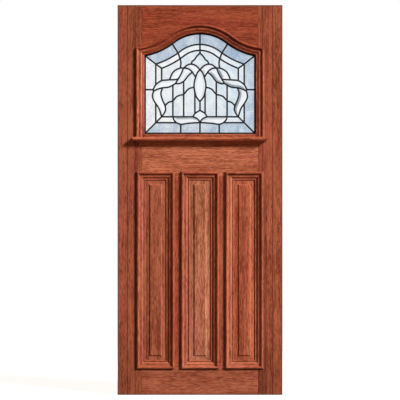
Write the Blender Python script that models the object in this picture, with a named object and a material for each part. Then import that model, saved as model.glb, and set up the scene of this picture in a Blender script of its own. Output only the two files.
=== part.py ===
"""Hardwood front door leaf with an arched leaded light, a shelf moulding and three raised panels.

Metres, +Z up. The outside face looks towards -Y, and +X is to the right as seen from outside.
Every piece is modelled in the leaf's own frame, x from the middle of the leaf and z from its bottom edge,
and hangs from one empty that puts the middle hinge's seat, on the hinge edge, at the world origin.
"""

import math

import bmesh
import bpy
from mathutils import Vector, geometry

# Leaf
LEAF_WIDTH = 0.838
LEAF_HEIGHT = 1.981
LEAF_THICKNESS = 0.044
STILE_WIDTH = 0.124
BOTTOM_RAIL_HEIGHT = 0.160
LOCK_RAIL_HEIGHT = 0.202
TOP_RAIL_AT_CROWN = 0.129
MUNTIN_WIDTH = 0.0865
JOINT_GAP = 0.0003

# Hinges: their places on the hinge edge
HINGE_LENGTH = 0.100
TOP_HINGE_FROM_TOP = 0.150
BOTTOM_HINGE_FROM_BOTTOM = 0.225

# Arched light: its sight line is the edge of the wood round the glass
LIGHT_HEIGHT = 0.514
GLAZING_LIP = 0.012
SILL_LIP = 0.016
CROWN_RADIUS = 0.221
CROWN_HALF_ANGLE = math.radians(38)
SHOULDER_END_SLOPE = math.radians(10)
CROWN_STEPS = 5
SHOULDER_STEPS = 4
LAST_STEP_SHORT_OF_MITRE = math.radians(0.6)

# Bolection mouldings, planted on the outside face
MOULDING_WIDTH = 0.044
MOULDING_PROUD = 0.012
NOSING_RADIUS = 0.0068
INNER_BEAD_RADIUS = 0.004
PANEL_BEAD_DEPTH = 0.0072
GLAZING_BEAD_DEPTH = 0.0028
QUIRK = 0.0012
HOLLOW_HEIGHT = 0.0015
HOLLOW_WIDTH = 0.005
CREST_INSET = 0.0195
PANEL_CREST_HEIGHT = 0.0024
GLAZING_CREST_HEIGHT = 0.0045
OGEE_SHOULDER = 0.0045
OGEE_LIFT = 0.0010
PANEL_LIP = 0.017
ARC_STEPS = 4
HOLLOW_STEPS = 3
OGEE_STEPS = 4

# Beads on the inside face
BACK_BEAD_ROUND = 0.006
BACK_BEAD_STEPS = 3

# Raised panels
PANEL_EDGE_THICKNESS = 0.028
FIELD_THICKNESS = 0.041
FIELD_BEVEL = 0.005
PANEL_MARGIN = 0.0185
FIELD_BEVEL_WIDTH = 0.0075
PANEL_PLAY = 0.0005

# Shelf moulding
SHELF_HEIGHT = 0.045
SHELF_PROJECTION = 0.036
SHELF_PAST_SIGHT = 0.023
SHELF_FILLET = 0.012
SHELF_FILLET_STEP = 0.002
SHELF_OVOLO = 0.009
SHELF_COVE_FOOT = 0.002
SHELF_BEAD = 0.004

# Sill bead between the side mouldings
SILL_PROUD = 0.006
SILL_ROUND = 0.005

# Leaded light
LIGHT_SETBACK = 0.011
CAME_WIDTH = 0.0055
CAME_HEIGHT = 0.0064
CAME_HEART = 0.0018
FRAME_CAME_SHOWING = 0.008
LIGHT_EDGE_COVER = 0.010
FLAT_GLASS = 0.004
BEVEL_GLASS_EDGE = 0.003
BEVEL_RISE = 0.0022
BEVEL_WIDTH = 0.0045
BEVEL_SHARE = 0.32
SHORTEST_SIDE = 0.0004
GLASS_PLAY = 0.0003
MERGE_WITHIN = 1e-6
OUTER_BORDER = 0.058
INNER_BORDER = 0.030

# The drawn pattern's own measures: its field is the space inside the borders, x from the middle of the light
# and z from the bottom of the field. The pattern stretches with the field, and its rim with the inner border.
DRAWN_FIELD_HALF_WIDTH = 0.195
DRAWN_FIELD_HEIGHT = 0.338
DRAWN_RIM = 0.030
ARCH_LINE_PLACES = (0.0, 0.045, 0.080, 0.112, 0.140, 0.175, 0.210, 0.245)
RADIAL_ON_FRAME = 0.140
RADIAL_ON_BORDER = 0.112
RADIAL_ON_FIELD = 0.1016
RADIAL_BEND = (0.097, 0.276)
ARCH_TOP = (0.100, 0.248)
RIBBON_ON_FIELD = (0.195, 0.184)
RIBBON_ON_BORDER = (0.225, 0.163)
RIBBON_WIDEST = (0.237, 0.138)
TAIL_ON_BORDER = (0.225, 0.067)
LEAF_LOWEST = (0.098, -0.038)

KITE_SIDE = ((0, 0.324), (0.017, 0.307), (0.028, 0.291), (0.040, 0.281), (0.044, 0.268))
INNER_PETAL_TOP = (
    (0.085, 0.2475), (0.074, 0.256), (0.060, 0.265), (0.044, 0.268), (0.021, 0.260), (0, 0.2395),
)
RIBBON_ARCH = (
    (0.155, 0.188), (0.141, 0.221), (0.126, 0.2365), ARCH_TOP, (0.085, 0.2475),
    (0.0635, 0.246), (0.048, 0.2365), (0.039, 0.227), (0.022, 0.201),
)
FOLD = ((0.085, 0.2475), (0.093, 0.225), (0.104, 0.2035), (0.111, 0.192), (0.124, 0.1705))
RIBBON_UNDERSIDE = (
    (0.039, 0.227), (0.060, 0.209), (0.072, 0.193), (0.083, 0.180), (0.097, 0.172), (0.112, 0.168),
    (0.124, 0.1705),
)
RIBBON_TOP = (
    (0.111, 0.192), (0.128, 0.189), (0.155, 0.188), (0.175, 0.1865), RIBBON_ON_FIELD, (0.210, 0.1755),
    RIBBON_ON_BORDER, (0.2345, 0.147), RIBBON_WIDEST, (0.236, 0.131),
)
RIBBON_BOTTOM = (
    (0.236, 0.131), (0.214, 0.141), (0.190, 0.1475), (0.161, 0.1505), (0.138, 0.161), (0.124, 0.1705),
)
TAIL_OUTER = (
    (0.236, 0.131), (0.241, 0.1125), (0.240, 0.095), (0.232, 0.078), TAIL_ON_BORDER, (0.208, 0.041),
    (0.195, 0),
)
TAIL_INNER = (
    (0.190, 0.1475), (0.1976, 0.128), (0.1986, 0.1125), (0.190, 0.0836), (0.178, 0.056), (0.175, 0.039),
    (0.180, 0.022), (0.195, 0),
)
ALMOND_SIDE = (
    (0, 0.2395), (0.013, 0.225), (0.022, 0.201), (0.029, 0.174), (0.030, 0.150), (0.026, 0.127),
    (0.020, 0.105), (0.009, 0.088), (0, 0.078),
)
WAVE = (
    (0.178, 0.056), (0.161, 0.073), (0.138, 0.0815), (0.118, 0.103), (0.100, 0.110), (0.083, 0.115),
    (0.060, 0.140), (0.042, 0.148), (0.030, 0.150),
)
OUTER_STRIP = ((0.138, 0.161), (0.138, 0.0815), (0.138, 0))
MIDDLE_STRIP = ((0.083, 0.180), (0.083, 0.115), (0.083, 0))
INNER_STRIP = ((0.026, 0.127), (0.026, 0.0165))
DIAMOND_TOP = ((0, 0.033), (0.016, 0.0235), (0.026, 0.0165), (0.036, 0))
DIAMOND_BOTTOM = ((0.036, 0), (0.0165, -0.008), (0.006, -0.0185), (0, -0.029))
LEAF_END = ((0.138, 0), (0.133, -0.015), (0.120, -0.030))
LEAF_BOTTOM = ((0.120, -0.030), LEAF_LOWEST, (0.060, -0.033), (0, -0.029))
FIELD_FLOOR = ((0.195, 0), (0.138, 0), (0.083, 0), (0.036, 0))
DRAWN_LINES = (
    KITE_SIDE, INNER_PETAL_TOP, RIBBON_ARCH, FOLD, RIBBON_UNDERSIDE, RIBBON_TOP, RIBBON_BOTTOM, TAIL_OUTER,
    TAIL_INNER, ALMOND_SIDE, WAVE, OUTER_STRIP, MIDDLE_STRIP, INNER_STRIP, DIAMOND_TOP, DIAMOND_BOTTOM,
    LEAF_END, LEAF_BOTTOM, FIELD_FLOOR,
)

# One place inside each bevelled piece, on the left half of the drawn pattern
BEVELLED = {
    "inner_petal": (-0.045, 0.255),
    "ribbon_fold": (-0.080, 0.215),
    "ribbon_turn": (-0.128, 0.215),
    "ribbon_arm": (-0.185, 0.165),
    "ribbon_tail": (-0.215, 0.100),
    "leaf": (-0.080, -0.015),
}
ALMOND_PLACE = (0, 0.160)

# Colours
RED_BROWN = (0.30, 0.075, 0.035)
DARK_RED_BROWN = (0.26, 0.055, 0.025)
PALE_BROWN = (0.41, 0.14, 0.075)
LEAD_GREY = (0.03, 0.035, 0.045)
CLEAR = (0.88, 0.92, 0.96)

HALF_WIDTH = LEAF_WIDTH / 2
HALF_THICKNESS = LEAF_THICKNESS / 2
OPENING_HALF_WIDTH = HALF_WIDTH - STILE_WIDTH
PANEL_OPENING_WIDTH = (2 * OPENING_HALF_WIDTH - 2 * MUNTIN_WIDTH) / 3
SIGHT_CROWN = LEAF_HEIGHT - TOP_RAIL_AT_CROWN - GLAZING_LIP
SIGHT_BOTTOM = SIGHT_CROWN - LIGHT_HEIGHT
SIGHT_HALF_WIDTH = OPENING_HALF_WIDTH - GLAZING_LIP
LOCK_RAIL_TOP = SIGHT_BOTTOM - SILL_LIP
LOCK_RAIL_BOTTOM = LOCK_RAIL_TOP - LOCK_RAIL_HEIGHT
SHELF_TOP = LOCK_RAIL_TOP
CROWN_CENTRE = Vector((0, SIGHT_CROWN - CROWN_RADIUS))
SHOULDER_RADIUS = (SIGHT_HALF_WIDTH - CROWN_RADIUS * math.sin(CROWN_HALF_ANGLE)) / (
    math.sin(CROWN_HALF_ANGLE) - math.sin(SHOULDER_END_SLOPE)
)
SHOULDER_CENTRE = CROWN_CENTRE + (CROWN_RADIUS + SHOULDER_RADIUS) * Vector(
    (math.sin(CROWN_HALF_ANGLE), math.cos(CROWN_HALF_ANGLE))
)
CORNER_MITRE = math.tan(math.pi / 4 - SHOULDER_END_SLOPE / 2)
HALF_CAME = CAME_WIDTH / 2
FRAME_LINE = FRAME_CAME_SHOWING - HALF_CAME
FIELD_INSET = OUTER_BORDER + INNER_BORDER
LIGHT_Y = LIGHT_SETBACK + CAME_HEIGHT / 2 - HALF_THICKNESS
FRONT = -1
BACK = 1

TOP_HINGE_HEIGHT = LEAF_HEIGHT - TOP_HINGE_FROM_TOP - HINGE_LENGTH / 2
BOTTOM_HINGE_HEIGHT = BOTTOM_HINGE_FROM_BOTTOM + HINGE_LENGTH / 2
MIDDLE_HINGE_HEIGHT = (TOP_HINGE_HEIGHT + BOTTOM_HINGE_HEIGHT) / 2


def clear_scene():
    for obj in list(bpy.data.objects):
        bpy.data.objects.remove(obj, do_unlink=True)


clear_scene()
PIECES = bpy.data.collections.new("stained_glass_front_door")
bpy.context.scene.collection.children.link(PIECES)
LEAF = bpy.data.objects.new("door_leaf", None)
LEAF.location = (HALF_WIDTH, 0, -MIDDLE_HINGE_HEIGHT)
PIECES.objects.link(LEAF)


def material(name, colour, roughness, metallic=0.0, transmission=0.0):
    made = bpy.data.materials.new(name)
    made.use_nodes = True
    shader = made.node_tree.nodes["Principled BSDF"]
    shader.inputs["Base Color"].default_value = (*colour, 1)
    shader.inputs["Roughness"].default_value = roughness
    shader.inputs["Metallic"].default_value = metallic
    shader.inputs["Transmission Weight"].default_value = transmission
    return made


def hardwood(name, colour):
    return material(name, colour, roughness=0.42)


def place(name, mesh, finish):
    """An object of this mesh, hung from the leaf's empty."""
    obj = bpy.data.objects.new(name, mesh)
    mesh.materials.append(finish)
    obj.parent = LEAF
    PIECES.objects.link(obj)
    return obj


def board(name, low, high, finish):
    """A squared timber between two corners, each (x, z), as thick as the leaf."""
    shape = bmesh.new()
    bmesh.ops.create_cube(shape, size=1)
    size = Vector((high[0] - low[0], LEAF_THICKNESS, high[1] - low[1]))
    bmesh.ops.scale(shape, vec=size, verts=shape.verts)
    mesh = bpy.data.meshes.new(name)
    shape.to_mesh(mesh)
    shape.free()
    obj = place(name, mesh, finish)
    obj.location = ((low[0] + high[0]) / 2, 0, (low[1] + high[1]) / 2)
    return obj


def loft(name, rings, finish):
    """A closed solid through rings of points, each ring with as many points as the next."""
    shape = bmesh.new()
    loops = [[shape.verts.new(point) for point in ring] for ring in rings]
    count = len(loops[0])
    for near, far in zip(loops, loops[1:]):
        for i in range(count):
            j = (i + 1) % count
            shape.faces.new((near[i], near[j], far[j], far[i]))
    shape.faces.new(loops[0])
    shape.faces.new(loops[-1])
    bmesh.ops.recalc_face_normals(shape, faces=shape.faces)
    mesh = bpy.data.meshes.new(name)
    shape.to_mesh(mesh)
    shape.free()
    return place(name, mesh, finish)


def sweep(name, profile, stations, side, finish):
    """Carries a section along the sight line.

    The section's points are (u, v): u outwards from the sight line, v out from the leaf's face.
    A station is (place, outward, along): its points slide by u times along, which makes the mitres.
    """
    rings = []
    for spot, outward, along in stations:
        ring = []
        for u, v in profile:
            at = spot + outward * u + along * u
            ring.append((at.x, side * (HALF_THICKNESS + v), at.y))
        rings.append(ring)
    return loft(name, rings, finish)


def arc(centre, radius, start, end, steps):
    """Points on a round, from one angle to another, in degrees."""
    points = []
    for i in range(steps + 1):
        angle = math.radians(start + (end - start) * i / steps)
        points.append((centre[0] + radius * math.cos(angle), centre[1] + radius * math.sin(angle)))
    return points


def bend(start, leave, arrive, end, steps):
    """A smooth stretch of a section, drawn with two handles, without its two ends."""
    curve = geometry.interpolate_bezier(Vector(start), Vector(leave), Vector(arrive), Vector(end), steps + 1)
    return [(point.x, point.y) for point in curve[1:-1]]


def bolection(lip, seat, bead_depth, crest_height):
    """Section of a moulding that laps the frame: nosing, hollow, crest, an ogee fall and an inner bead."""
    nosing_centre = (MOULDING_WIDTH - NOSING_RADIUS, MOULDING_PROUD - NOSING_RADIUS)
    nosing_foot = (MOULDING_WIDTH - 2 * NOSING_RADIUS, nosing_centre[1])
    bead_centre = (INNER_BEAD_RADIUS, -bead_depth)
    crest = (CREST_INSET, crest_height)
    ogee_end = (2 * INNER_BEAD_RADIUS + QUIRK, INNER_BEAD_RADIUS - bead_depth)
    hollow = ((nosing_foot[0], HOLLOW_HEIGHT), (nosing_foot[0] - HOLLOW_WIDTH, HOLLOW_HEIGHT))
    ogee = ((crest[0] - OGEE_SHOULDER, crest[1]), (ogee_end[0] + OGEE_SHOULDER, ogee_end[1] + OGEE_LIFT))
    return [
        (0, JOINT_GAP - seat),
        (lip - JOINT_GAP, JOINT_GAP - seat),
        (lip - JOINT_GAP, JOINT_GAP),
        (MOULDING_WIDTH, JOINT_GAP),
        *arc(nosing_centre, NOSING_RADIUS, 0, 180, ARC_STEPS),
        *bend(nosing_foot, *hollow, crest, HOLLOW_STEPS),
        crest,
        *bend(crest, *ogee, ogee_end, OGEE_STEPS),
        ogee_end,
        *arc(bead_centre, INNER_BEAD_RADIUS, 0, 180, ARC_STEPS),
    ]


def back_bead(lip, seat):
    """Section of the plain bead that fills the opening on the inside, with one rounded edge."""
    centre = (BACK_BEAD_ROUND, -BACK_BEAD_ROUND)
    return [
        (0, JOINT_GAP - seat),
        (lip - JOINT_GAP, JOINT_GAP - seat),
        (lip - JOINT_GAP, 0),
        *arc(centre, BACK_BEAD_ROUND, 90, 180, BACK_BEAD_STEPS),
    ]


def straight(start, end, outward, start_mitre, end_mitre):
    """Stations of a straight piece: a mitre of 1 is 45 degrees, and of 0 a square end."""
    start, end, outward = Vector(start), Vector(end), Vector(outward)
    along = (end - start).normalized()
    trim = along * JOINT_GAP / 2
    return [(start + trim, outward, -along * start_mitre), (end - trim, outward, along * end_mitre)]


def panel_frame(label, section, side, centre_x, low, high, half_width, finish):
    """Four mitred pieces round a panel."""
    left = centre_x - half_width
    right = centre_x + half_width
    runs = {
        "top": ((left, high), (right, high), (0, 1)),
        "bottom": ((left, low), (right, low), (0, -1)),
        "left": ((left, low), (left, high), (-1, 0)),
        "right": ((right, low), (right, high), (1, 0)),
    }
    for edge, (start, end, outward) in runs.items():
        sweep(f"{label}_{edge}", section, straight(start, end, outward, 1, 1), side, finish)


def rectangle(x, y, z, half_width, half_height):
    return [
        (x - half_width, y, z - half_height),
        (x + half_width, y, z - half_height),
        (x + half_width, y, z + half_height),
        (x - half_width, y, z + half_height),
    ]


def raised_panel(name, centre_x, finish):
    """Flat edges under the mouldings, a slight slope, a steep bevel and a flat field; plainer inside."""
    low = BOTTOM_RAIL_HEIGHT
    high = LOCK_RAIL_BOTTOM
    half_width = PANEL_OPENING_WIDTH / 2
    half_height = (high - low) / 2
    middle = (high + low) / 2
    slope_foot = PANEL_LIP
    slope_top = PANEL_LIP + PANEL_MARGIN
    field = slope_top + FIELD_BEVEL_WIDTH
    edge_y = PANEL_EDGE_THICKNESS / 2
    field_y = FIELD_THICKNESS / 2
    levels = (
        (slope_foot, edge_y),
        (slope_top, field_y - FIELD_BEVEL),
        (field, field_y),
    )
    rings = [rectangle(centre_x, BACK * field_y, middle, half_width - field, half_height - field)]
    foot = (half_width - slope_foot, half_height - slope_foot)
    rings.append(rectangle(centre_x, BACK * edge_y, middle, *foot))
    edge = (half_width - PANEL_PLAY, half_height - PANEL_PLAY)
    rings.append(rectangle(centre_x, BACK * edge_y, middle, *edge))
    rings.append(rectangle(centre_x, FRONT * edge_y, middle, *edge))
    for inset_by, y in levels:
        rings.append(rectangle(centre_x, FRONT * y, middle, half_width - inset_by, half_height - inset_by))
    return loft(name, rings, finish)


def arch_direction(angle):
    return Vector((math.sin(angle), math.cos(angle)))


def arch_angles():
    """The slope at each station of the right half, from the crown to just short of the corner."""
    crown = [CROWN_HALF_ANGLE * i / CROWN_STEPS for i in range(CROWN_STEPS + 1)]
    sweep_angle = CROWN_HALF_ANGLE - SHOULDER_END_SLOPE - LAST_STEP_SHORT_OF_MITRE
    shoulder = [CROWN_HALF_ANGLE - sweep_angle * i / SHOULDER_STEPS for i in range(1, SHOULDER_STEPS + 1)]
    return crown, shoulder


def arch_half(inset_by=0.0):
    """(place, outward) along the right half of the arch, this far inside the sight line."""
    crown, shoulder = arch_angles()
    half = []
    for angle in crown:
        outward = arch_direction(angle)
        half.append((CROWN_CENTRE + outward * (CROWN_RADIUS - inset_by), outward))
    for angle in shoulder:
        outward = arch_direction(angle)
        half.append((SHOULDER_CENTRE - outward * (SHOULDER_RADIUS + inset_by), outward))
    return half


def arch_stations():
    """Stations of the arched pieces from the left corner to the right, with a mitre at each."""
    half = [(spot, outward, Vector((0, 0))) for spot, outward in arch_half()]
    outward = arch_direction(SHOULDER_END_SLOPE)
    tangent = Vector((outward.y, -outward.x))
    corner = SHOULDER_CENTRE - outward * SHOULDER_RADIUS - tangent * JOINT_GAP / 2
    half.append((corner, outward, tangent * CORNER_MITRE))
    flip = Vector((-1, 1))
    left = [(spot * flip, outward * flip, along * flip) for spot, outward, along in half[:0:-1]]
    return left + half


def arch_height(inset_by, x):
    """Height of the arch at this x, on the line this far inside the sight line."""
    x = abs(x)
    radius = CROWN_RADIUS - inset_by
    if x <= radius * math.sin(CROWN_HALF_ANGLE):
        return CROWN_CENTRE.y + math.sqrt(radius**2 - x**2)
    radius = SHOULDER_RADIUS + inset_by
    return SHOULDER_CENTRE.y - math.sqrt(radius**2 - (SHOULDER_CENTRE.x - x) ** 2)


def frame():
    """Stiles, rails and muntins."""
    stile_edge = OPENING_HALF_WIDTH
    board("hinge_stile", (-HALF_WIDTH, 0), (-stile_edge, LEAF_HEIGHT), hardwood("hinge_stile", RED_BROWN))
    board("lock_stile", (stile_edge, 0), (HALF_WIDTH, LEAF_HEIGHT), hardwood("lock_stile", RED_BROWN))
    rail_end = stile_edge - JOINT_GAP
    board("bottom_rail", (-rail_end, 0), (rail_end, BOTTOM_RAIL_HEIGHT), hardwood("bottom_rail", RED_BROWN))
    lock_rail_finish = hardwood("lock_rail", PALE_BROWN)
    board("lock_rail", (-rail_end, LOCK_RAIL_BOTTOM), (rail_end, LOCK_RAIL_TOP), lock_rail_finish)
    for name, side in (("muntin_left", -1), ("muntin_right", 1)):
        centre = side * (PANEL_OPENING_WIDTH + MUNTIN_WIDTH) / 2
        low = (centre - MUNTIN_WIDTH / 2, BOTTOM_RAIL_HEIGHT + JOINT_GAP)
        high = (centre + MUNTIN_WIDTH / 2, LOCK_RAIL_BOTTOM - JOINT_GAP)
        board(name, low, high, hardwood(name, RED_BROWN))
    top_rail(rail_end)


def top_rail(rail_end):
    """The board over the light, with the arch cut in its lower edge."""
    edge = [spot for spot, outward in arch_half(-GLAZING_LIP)]
    outward = arch_direction(SHOULDER_END_SLOPE)
    end = SHOULDER_CENTRE - outward * (SHOULDER_RADIUS - GLAZING_LIP)
    end_height = end.y - (rail_end - end.x) * math.tan(SHOULDER_END_SLOPE)
    right = [(spot.x, spot.y) for spot in edge] + [(rail_end, end_height)]
    left = [(-x, z) for x, z in right[:0:-1]]
    outline = [*left, *right, (rail_end, LEAF_HEIGHT), (-rail_end, LEAF_HEIGHT)]
    rings = [[(x, side * HALF_THICKNESS, z) for x, z in outline] for side in (FRONT, BACK)]
    loft("top_rail", rings, hardwood("top_rail", DARK_RED_BROWN))


def panels():
    """Three raised panels with their mouldings outside and beads inside."""
    seat = HALF_THICKNESS - PANEL_EDGE_THICKNESS / 2
    front_section = bolection(PANEL_LIP, seat, PANEL_BEAD_DEPTH, PANEL_CREST_HEIGHT)
    back_section = back_bead(PANEL_LIP, seat)
    half_sight = PANEL_OPENING_WIDTH / 2 - PANEL_LIP
    low = BOTTOM_RAIL_HEIGHT + PANEL_LIP
    high = LOCK_RAIL_BOTTOM - PANEL_LIP
    for place_name, step in (("left", -1), ("middle", 0), ("right", 1)):
        centre = step * (PANEL_OPENING_WIDTH + MUNTIN_WIDTH)
        colour = PALE_BROWN if step == 0 else RED_BROWN
        raised_panel(f"panel_{place_name}", centre, hardwood(f"panel_{place_name}", colour))
        label = f"{place_name}_panel_moulding"
        panel_frame(label, front_section, FRONT, centre, low, high, half_sight, hardwood(label, RED_BROWN))
        label = f"{place_name}_panel_back_bead"
        panel_frame(label, back_section, BACK, centre, low, high, half_sight, hardwood(label, RED_BROWN))


def glazing_trim():
    """Front mouldings and back beads round the light, and the sill bead."""
    back_seat = LEAF_THICKNESS - LIGHT_SETBACK - CAME_HEIGHT
    corner_height = arch_height(0, SIGHT_HALF_WIDTH)
    foot = LOCK_RAIL_TOP + JOINT_GAP / 2
    section = bolection(GLAZING_LIP, LIGHT_SETBACK, GLAZING_BEAD_DEPTH, GLAZING_CREST_HEIGHT)
    back_section = back_bead(GLAZING_LIP, back_seat)
    sill_mitre = SILL_LIP / GLAZING_LIP
    front_finish = hardwood("glazing_moulding", RED_BROWN)
    back_finish = hardwood("glazing_back_bead", RED_BROWN)
    for name, side in (("left", -1), ("right", 1)):
        x = side * SIGHT_HALF_WIDTH
        run = straight((x, foot), (x, corner_height), (side, 0), 0, CORNER_MITRE)
        sweep(f"glazing_moulding_{name}", section, run, FRONT, front_finish)
        run = straight((x, SIGHT_BOTTOM), (x, corner_height), (side, 0), sill_mitre, CORNER_MITRE)
        sweep(f"glazing_back_bead_{name}", back_section, run, BACK, back_finish)
    sweep("glazing_moulding_arch", section, arch_stations(), FRONT, hardwood("arch_moulding", DARK_RED_BROWN))
    sweep("glazing_back_bead_arch", back_section, arch_stations(), BACK, back_finish)
    ends = ((-SIGHT_HALF_WIDTH, SIGHT_BOTTOM), (SIGHT_HALF_WIDTH, SIGHT_BOTTOM))
    run = straight(*ends, (0, -1), 1 / sill_mitre, 1 / sill_mitre)
    sweep("glazing_back_bead_bottom", back_bead(SILL_LIP, back_seat), run, BACK, back_finish)
    sill_bead()


def sill_bead():
    """The narrow bead on the lock rail, between the side mouldings, with a rounded front edge."""
    round_centre = (SILL_PROUD - SILL_ROUND, SIGHT_BOTTOM - SILL_ROUND)
    low = LOCK_RAIL_TOP + JOINT_GAP
    section = [
        (JOINT_GAP - LIGHT_SETBACK, low),
        (SILL_PROUD, low),
        *arc(round_centre, SILL_ROUND, 0, 90, ARC_STEPS),
        (JOINT_GAP - LIGHT_SETBACK, SIGHT_BOTTOM),
    ]
    half = SIGHT_HALF_WIDTH - JOINT_GAP
    rings = [[(x, FRONT * (HALF_THICKNESS + v), z) for v, z in section] for x in (-half, half)]
    loft("sill_bead", rings, hardwood("sill_bead", RED_BROWN))


def shelf():
    """The shelf moulding across the lock rail: fillet, ovolo, cove and bead, returned at both ends."""
    ovolo_top = SHELF_PROJECTION - SHELF_FILLET_STEP
    ovolo_foot = ovolo_top - SHELF_OVOLO
    bead_centre_depth = SHELF_HEIGHT - SHELF_BEAD / 2
    cove_top = SHELF_FILLET + SHELF_OVOLO
    cove_height = SHELF_HEIGHT - SHELF_BEAD - cove_top
    cove_reach = ovolo_foot - SHELF_COVE_FOOT
    section = [(SHELF_PROJECTION, 0), (SHELF_PROJECTION, SHELF_FILLET), (ovolo_top, SHELF_FILLET)]
    section += [(x, -z) for x, z in arc((ovolo_foot, -SHELF_FILLET), SHELF_OVOLO, 0, -90, ARC_STEPS)[1:]]
    for i in range(1, ARC_STEPS + 1):
        angle = math.pi / 2 * i / ARC_STEPS
        reach = ovolo_foot - cove_reach * math.sin(angle)
        section.append((reach, cove_top + cove_height * (1 - math.cos(angle))))
    bead = arc((SHELF_COVE_FOOT, -bead_centre_depth), SHELF_BEAD / 2, 90, -90, 2 * ARC_STEPS)
    section += [(x, -z) for x, z in bead[1:]]
    rings = []
    for reach, depth in section:
        half = SIGHT_HALF_WIDTH + SHELF_PAST_SIGHT + reach
        z = SHELF_TOP - depth
        front = FRONT * (HALF_THICKNESS + reach)
        back = FRONT * (HALF_THICKNESS + JOINT_GAP)
        rings.append([(-half, front, z), (half, front, z), (half, back, z), (-half, back, z)])
    loft("shelf_moulding", rings, hardwood("shelf_moulding", RED_BROWN))


def from_field(point):
    """A point of the drawn pattern, placed in the leaf."""
    x, z = point
    half_width = SIGHT_HALF_WIDTH - FIELD_INSET
    rim = INNER_BORDER / DRAWN_RIM
    across = min(abs(x), DRAWN_FIELD_HALF_WIDTH) * half_width / DRAWN_FIELD_HALF_WIDTH
    across += max(abs(x) - DRAWN_FIELD_HALF_WIDTH, 0) * rim
    if z < 0:
        up = z * rim
    else:
        up = z * (LIGHT_HEIGHT - 2 * FIELD_INSET) / DRAWN_FIELD_HEIGHT
    return Vector((math.copysign(across, x), SIGHT_BOTTOM + FIELD_INSET + up))


def arch_line(inset_by, half_width):
    """The right half of a line parallel to the arch, out to this half width."""
    places = [from_field((x, 0)).x for x in ARCH_LINE_PLACES]
    inside = [x for x in places if x < half_width - CAME_WIDTH]
    return [Vector((x, arch_height(inset_by, x))) for x in [*inside, half_width]]


def border_lines():
    """The right half of the cames that follow the sight line, with those that cross between them."""
    lines = []
    corners = []
    for inset_by in (FRAME_LINE, OUTER_BORDER, FIELD_INSET):
        half_width = SIGHT_HALF_WIDTH - inset_by
        arch = arch_line(inset_by, half_width)
        lines.append(arch)
        corners.append((arch[-1], Vector((half_width, SIGHT_BOTTOM + inset_by))))
    (frame_top, frame_foot), (outer_top, outer_foot), (field_top, field_foot) = corners
    lines.append([frame_top, frame_foot, Vector((0, frame_foot.y))])
    lines.append([outer_top, from_field(RIBBON_ON_BORDER)])
    lines.append([from_field(TAIL_ON_BORDER), outer_foot, from_field(LEAF_END[-1])])
    lines.append([field_top, from_field(RIBBON_ON_FIELD)])
    lines.append([frame_top, outer_top, field_top])
    lines.append([frame_foot, outer_foot, field_foot])
    arm = from_field(RIBBON_WIDEST)
    lines.append([arm, Vector((frame_foot.x, arm.y))])
    leaf = from_field(LEAF_LOWEST)
    lines.append([leaf, Vector((leaf.x, frame_foot.y))])
    radial = []
    crossings = (
        (RADIAL_ON_FRAME, FRAME_LINE),
        (RADIAL_ON_BORDER, OUTER_BORDER),
        (RADIAL_ON_FIELD, FIELD_INSET),
    )
    for drawn_x, inset_by in crossings:
        x = from_field((drawn_x, 0)).x
        radial.append(Vector((x, arch_height(inset_by, x))))
    lines.append(radial + [from_field(RADIAL_BEND), from_field(ARCH_TOP)])
    return lines


def came_lines():
    """Every came's middle line, on both halves."""
    right = border_lines() + [[from_field(point) for point in line] for line in DRAWN_LINES]
    flip = Vector((-1, 1))
    lines = right + [[point * flip for point in line] for line in right]
    crown = Vector((0, arch_height(FRAME_LINE, 0)))
    lines.append([crown, from_field(KITE_SIDE[0])])
    lines.append([from_field(ALMOND_SIDE[-1]), from_field(DIAMOND_TOP[0])])
    lines.append([from_field(DIAMOND_BOTTOM[-1]), Vector((0, SIGHT_BOTTOM + FRAME_LINE))])
    return lines


def light_cells():
    """The spaces between the cames, each a closed line that runs anticlockwise."""
    spots = []
    edges = []
    for line in came_lines():
        first = len(spots)
        spots += line
        edges += [(first + i, first + i + 1) for i in range(len(line) - 1)]
    keep_polygons = 3
    merge_within = 1e-5
    crossed = geometry.delaunay_2d_cdt(spots, edges, [], keep_polygons, merge_within)
    spots = crossed[0]
    around = {i: [] for i in range(len(spots))}
    for a, b in crossed[1]:
        around[a].append(b)
        around[b].append(a)
    for i, others in around.items():
        others.sort(key=lambda j: math.atan2(spots[j].y - spots[i].y, spots[j].x - spots[i].x))
    cells = []
    unwalked = {(a, b) for a in around for b in around[a]}
    for start in sorted(unwalked):
        if start not in unwalked:
            continue
        loop = []
        a, b = start
        while (a, b) in unwalked:
            unwalked.remove((a, b))
            loop.append(spots[a])
            a, b = b, around[b][around[b].index(a) - 1]
        if signed_area(loop) > 0:
            cells.append(loop)
    return cells


def signed_area(loop):
    return sum(a.cross(b) for a, b in zip(loop, loop[1:] + loop[:1])) / 2


def holds(loop, spot):
    """Whether a closed line goes round a point."""
    inside = False
    for a, b in zip(loop, loop[1:] + loop[:1]):
        if (a.y > spot.y) != (b.y > spot.y) and spot.x < a.x + (spot.y - a.y) * (b.x - a.x) / (b.y - a.y):
            inside = not inside
    return inside


def corners(sides, distance):
    """Where a closed line's sides meet once each has moved inwards."""
    nearly_straight = 0.02
    met = []
    for before, side in zip(sides[-1:] + sides, sides):
        (last, last_along), (start, along) = before, side
        moved = start + Vector((-along.y, along.x)) * distance
        turn = last_along.cross(along)
        if abs(turn) > nearly_straight:
            last_moved = last + Vector((-last_along.y, last_along.x)) * distance
            moved = moved - along * (last_along.cross(moved - last_moved) / turn)
        met.append(moved)
    return met


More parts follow.
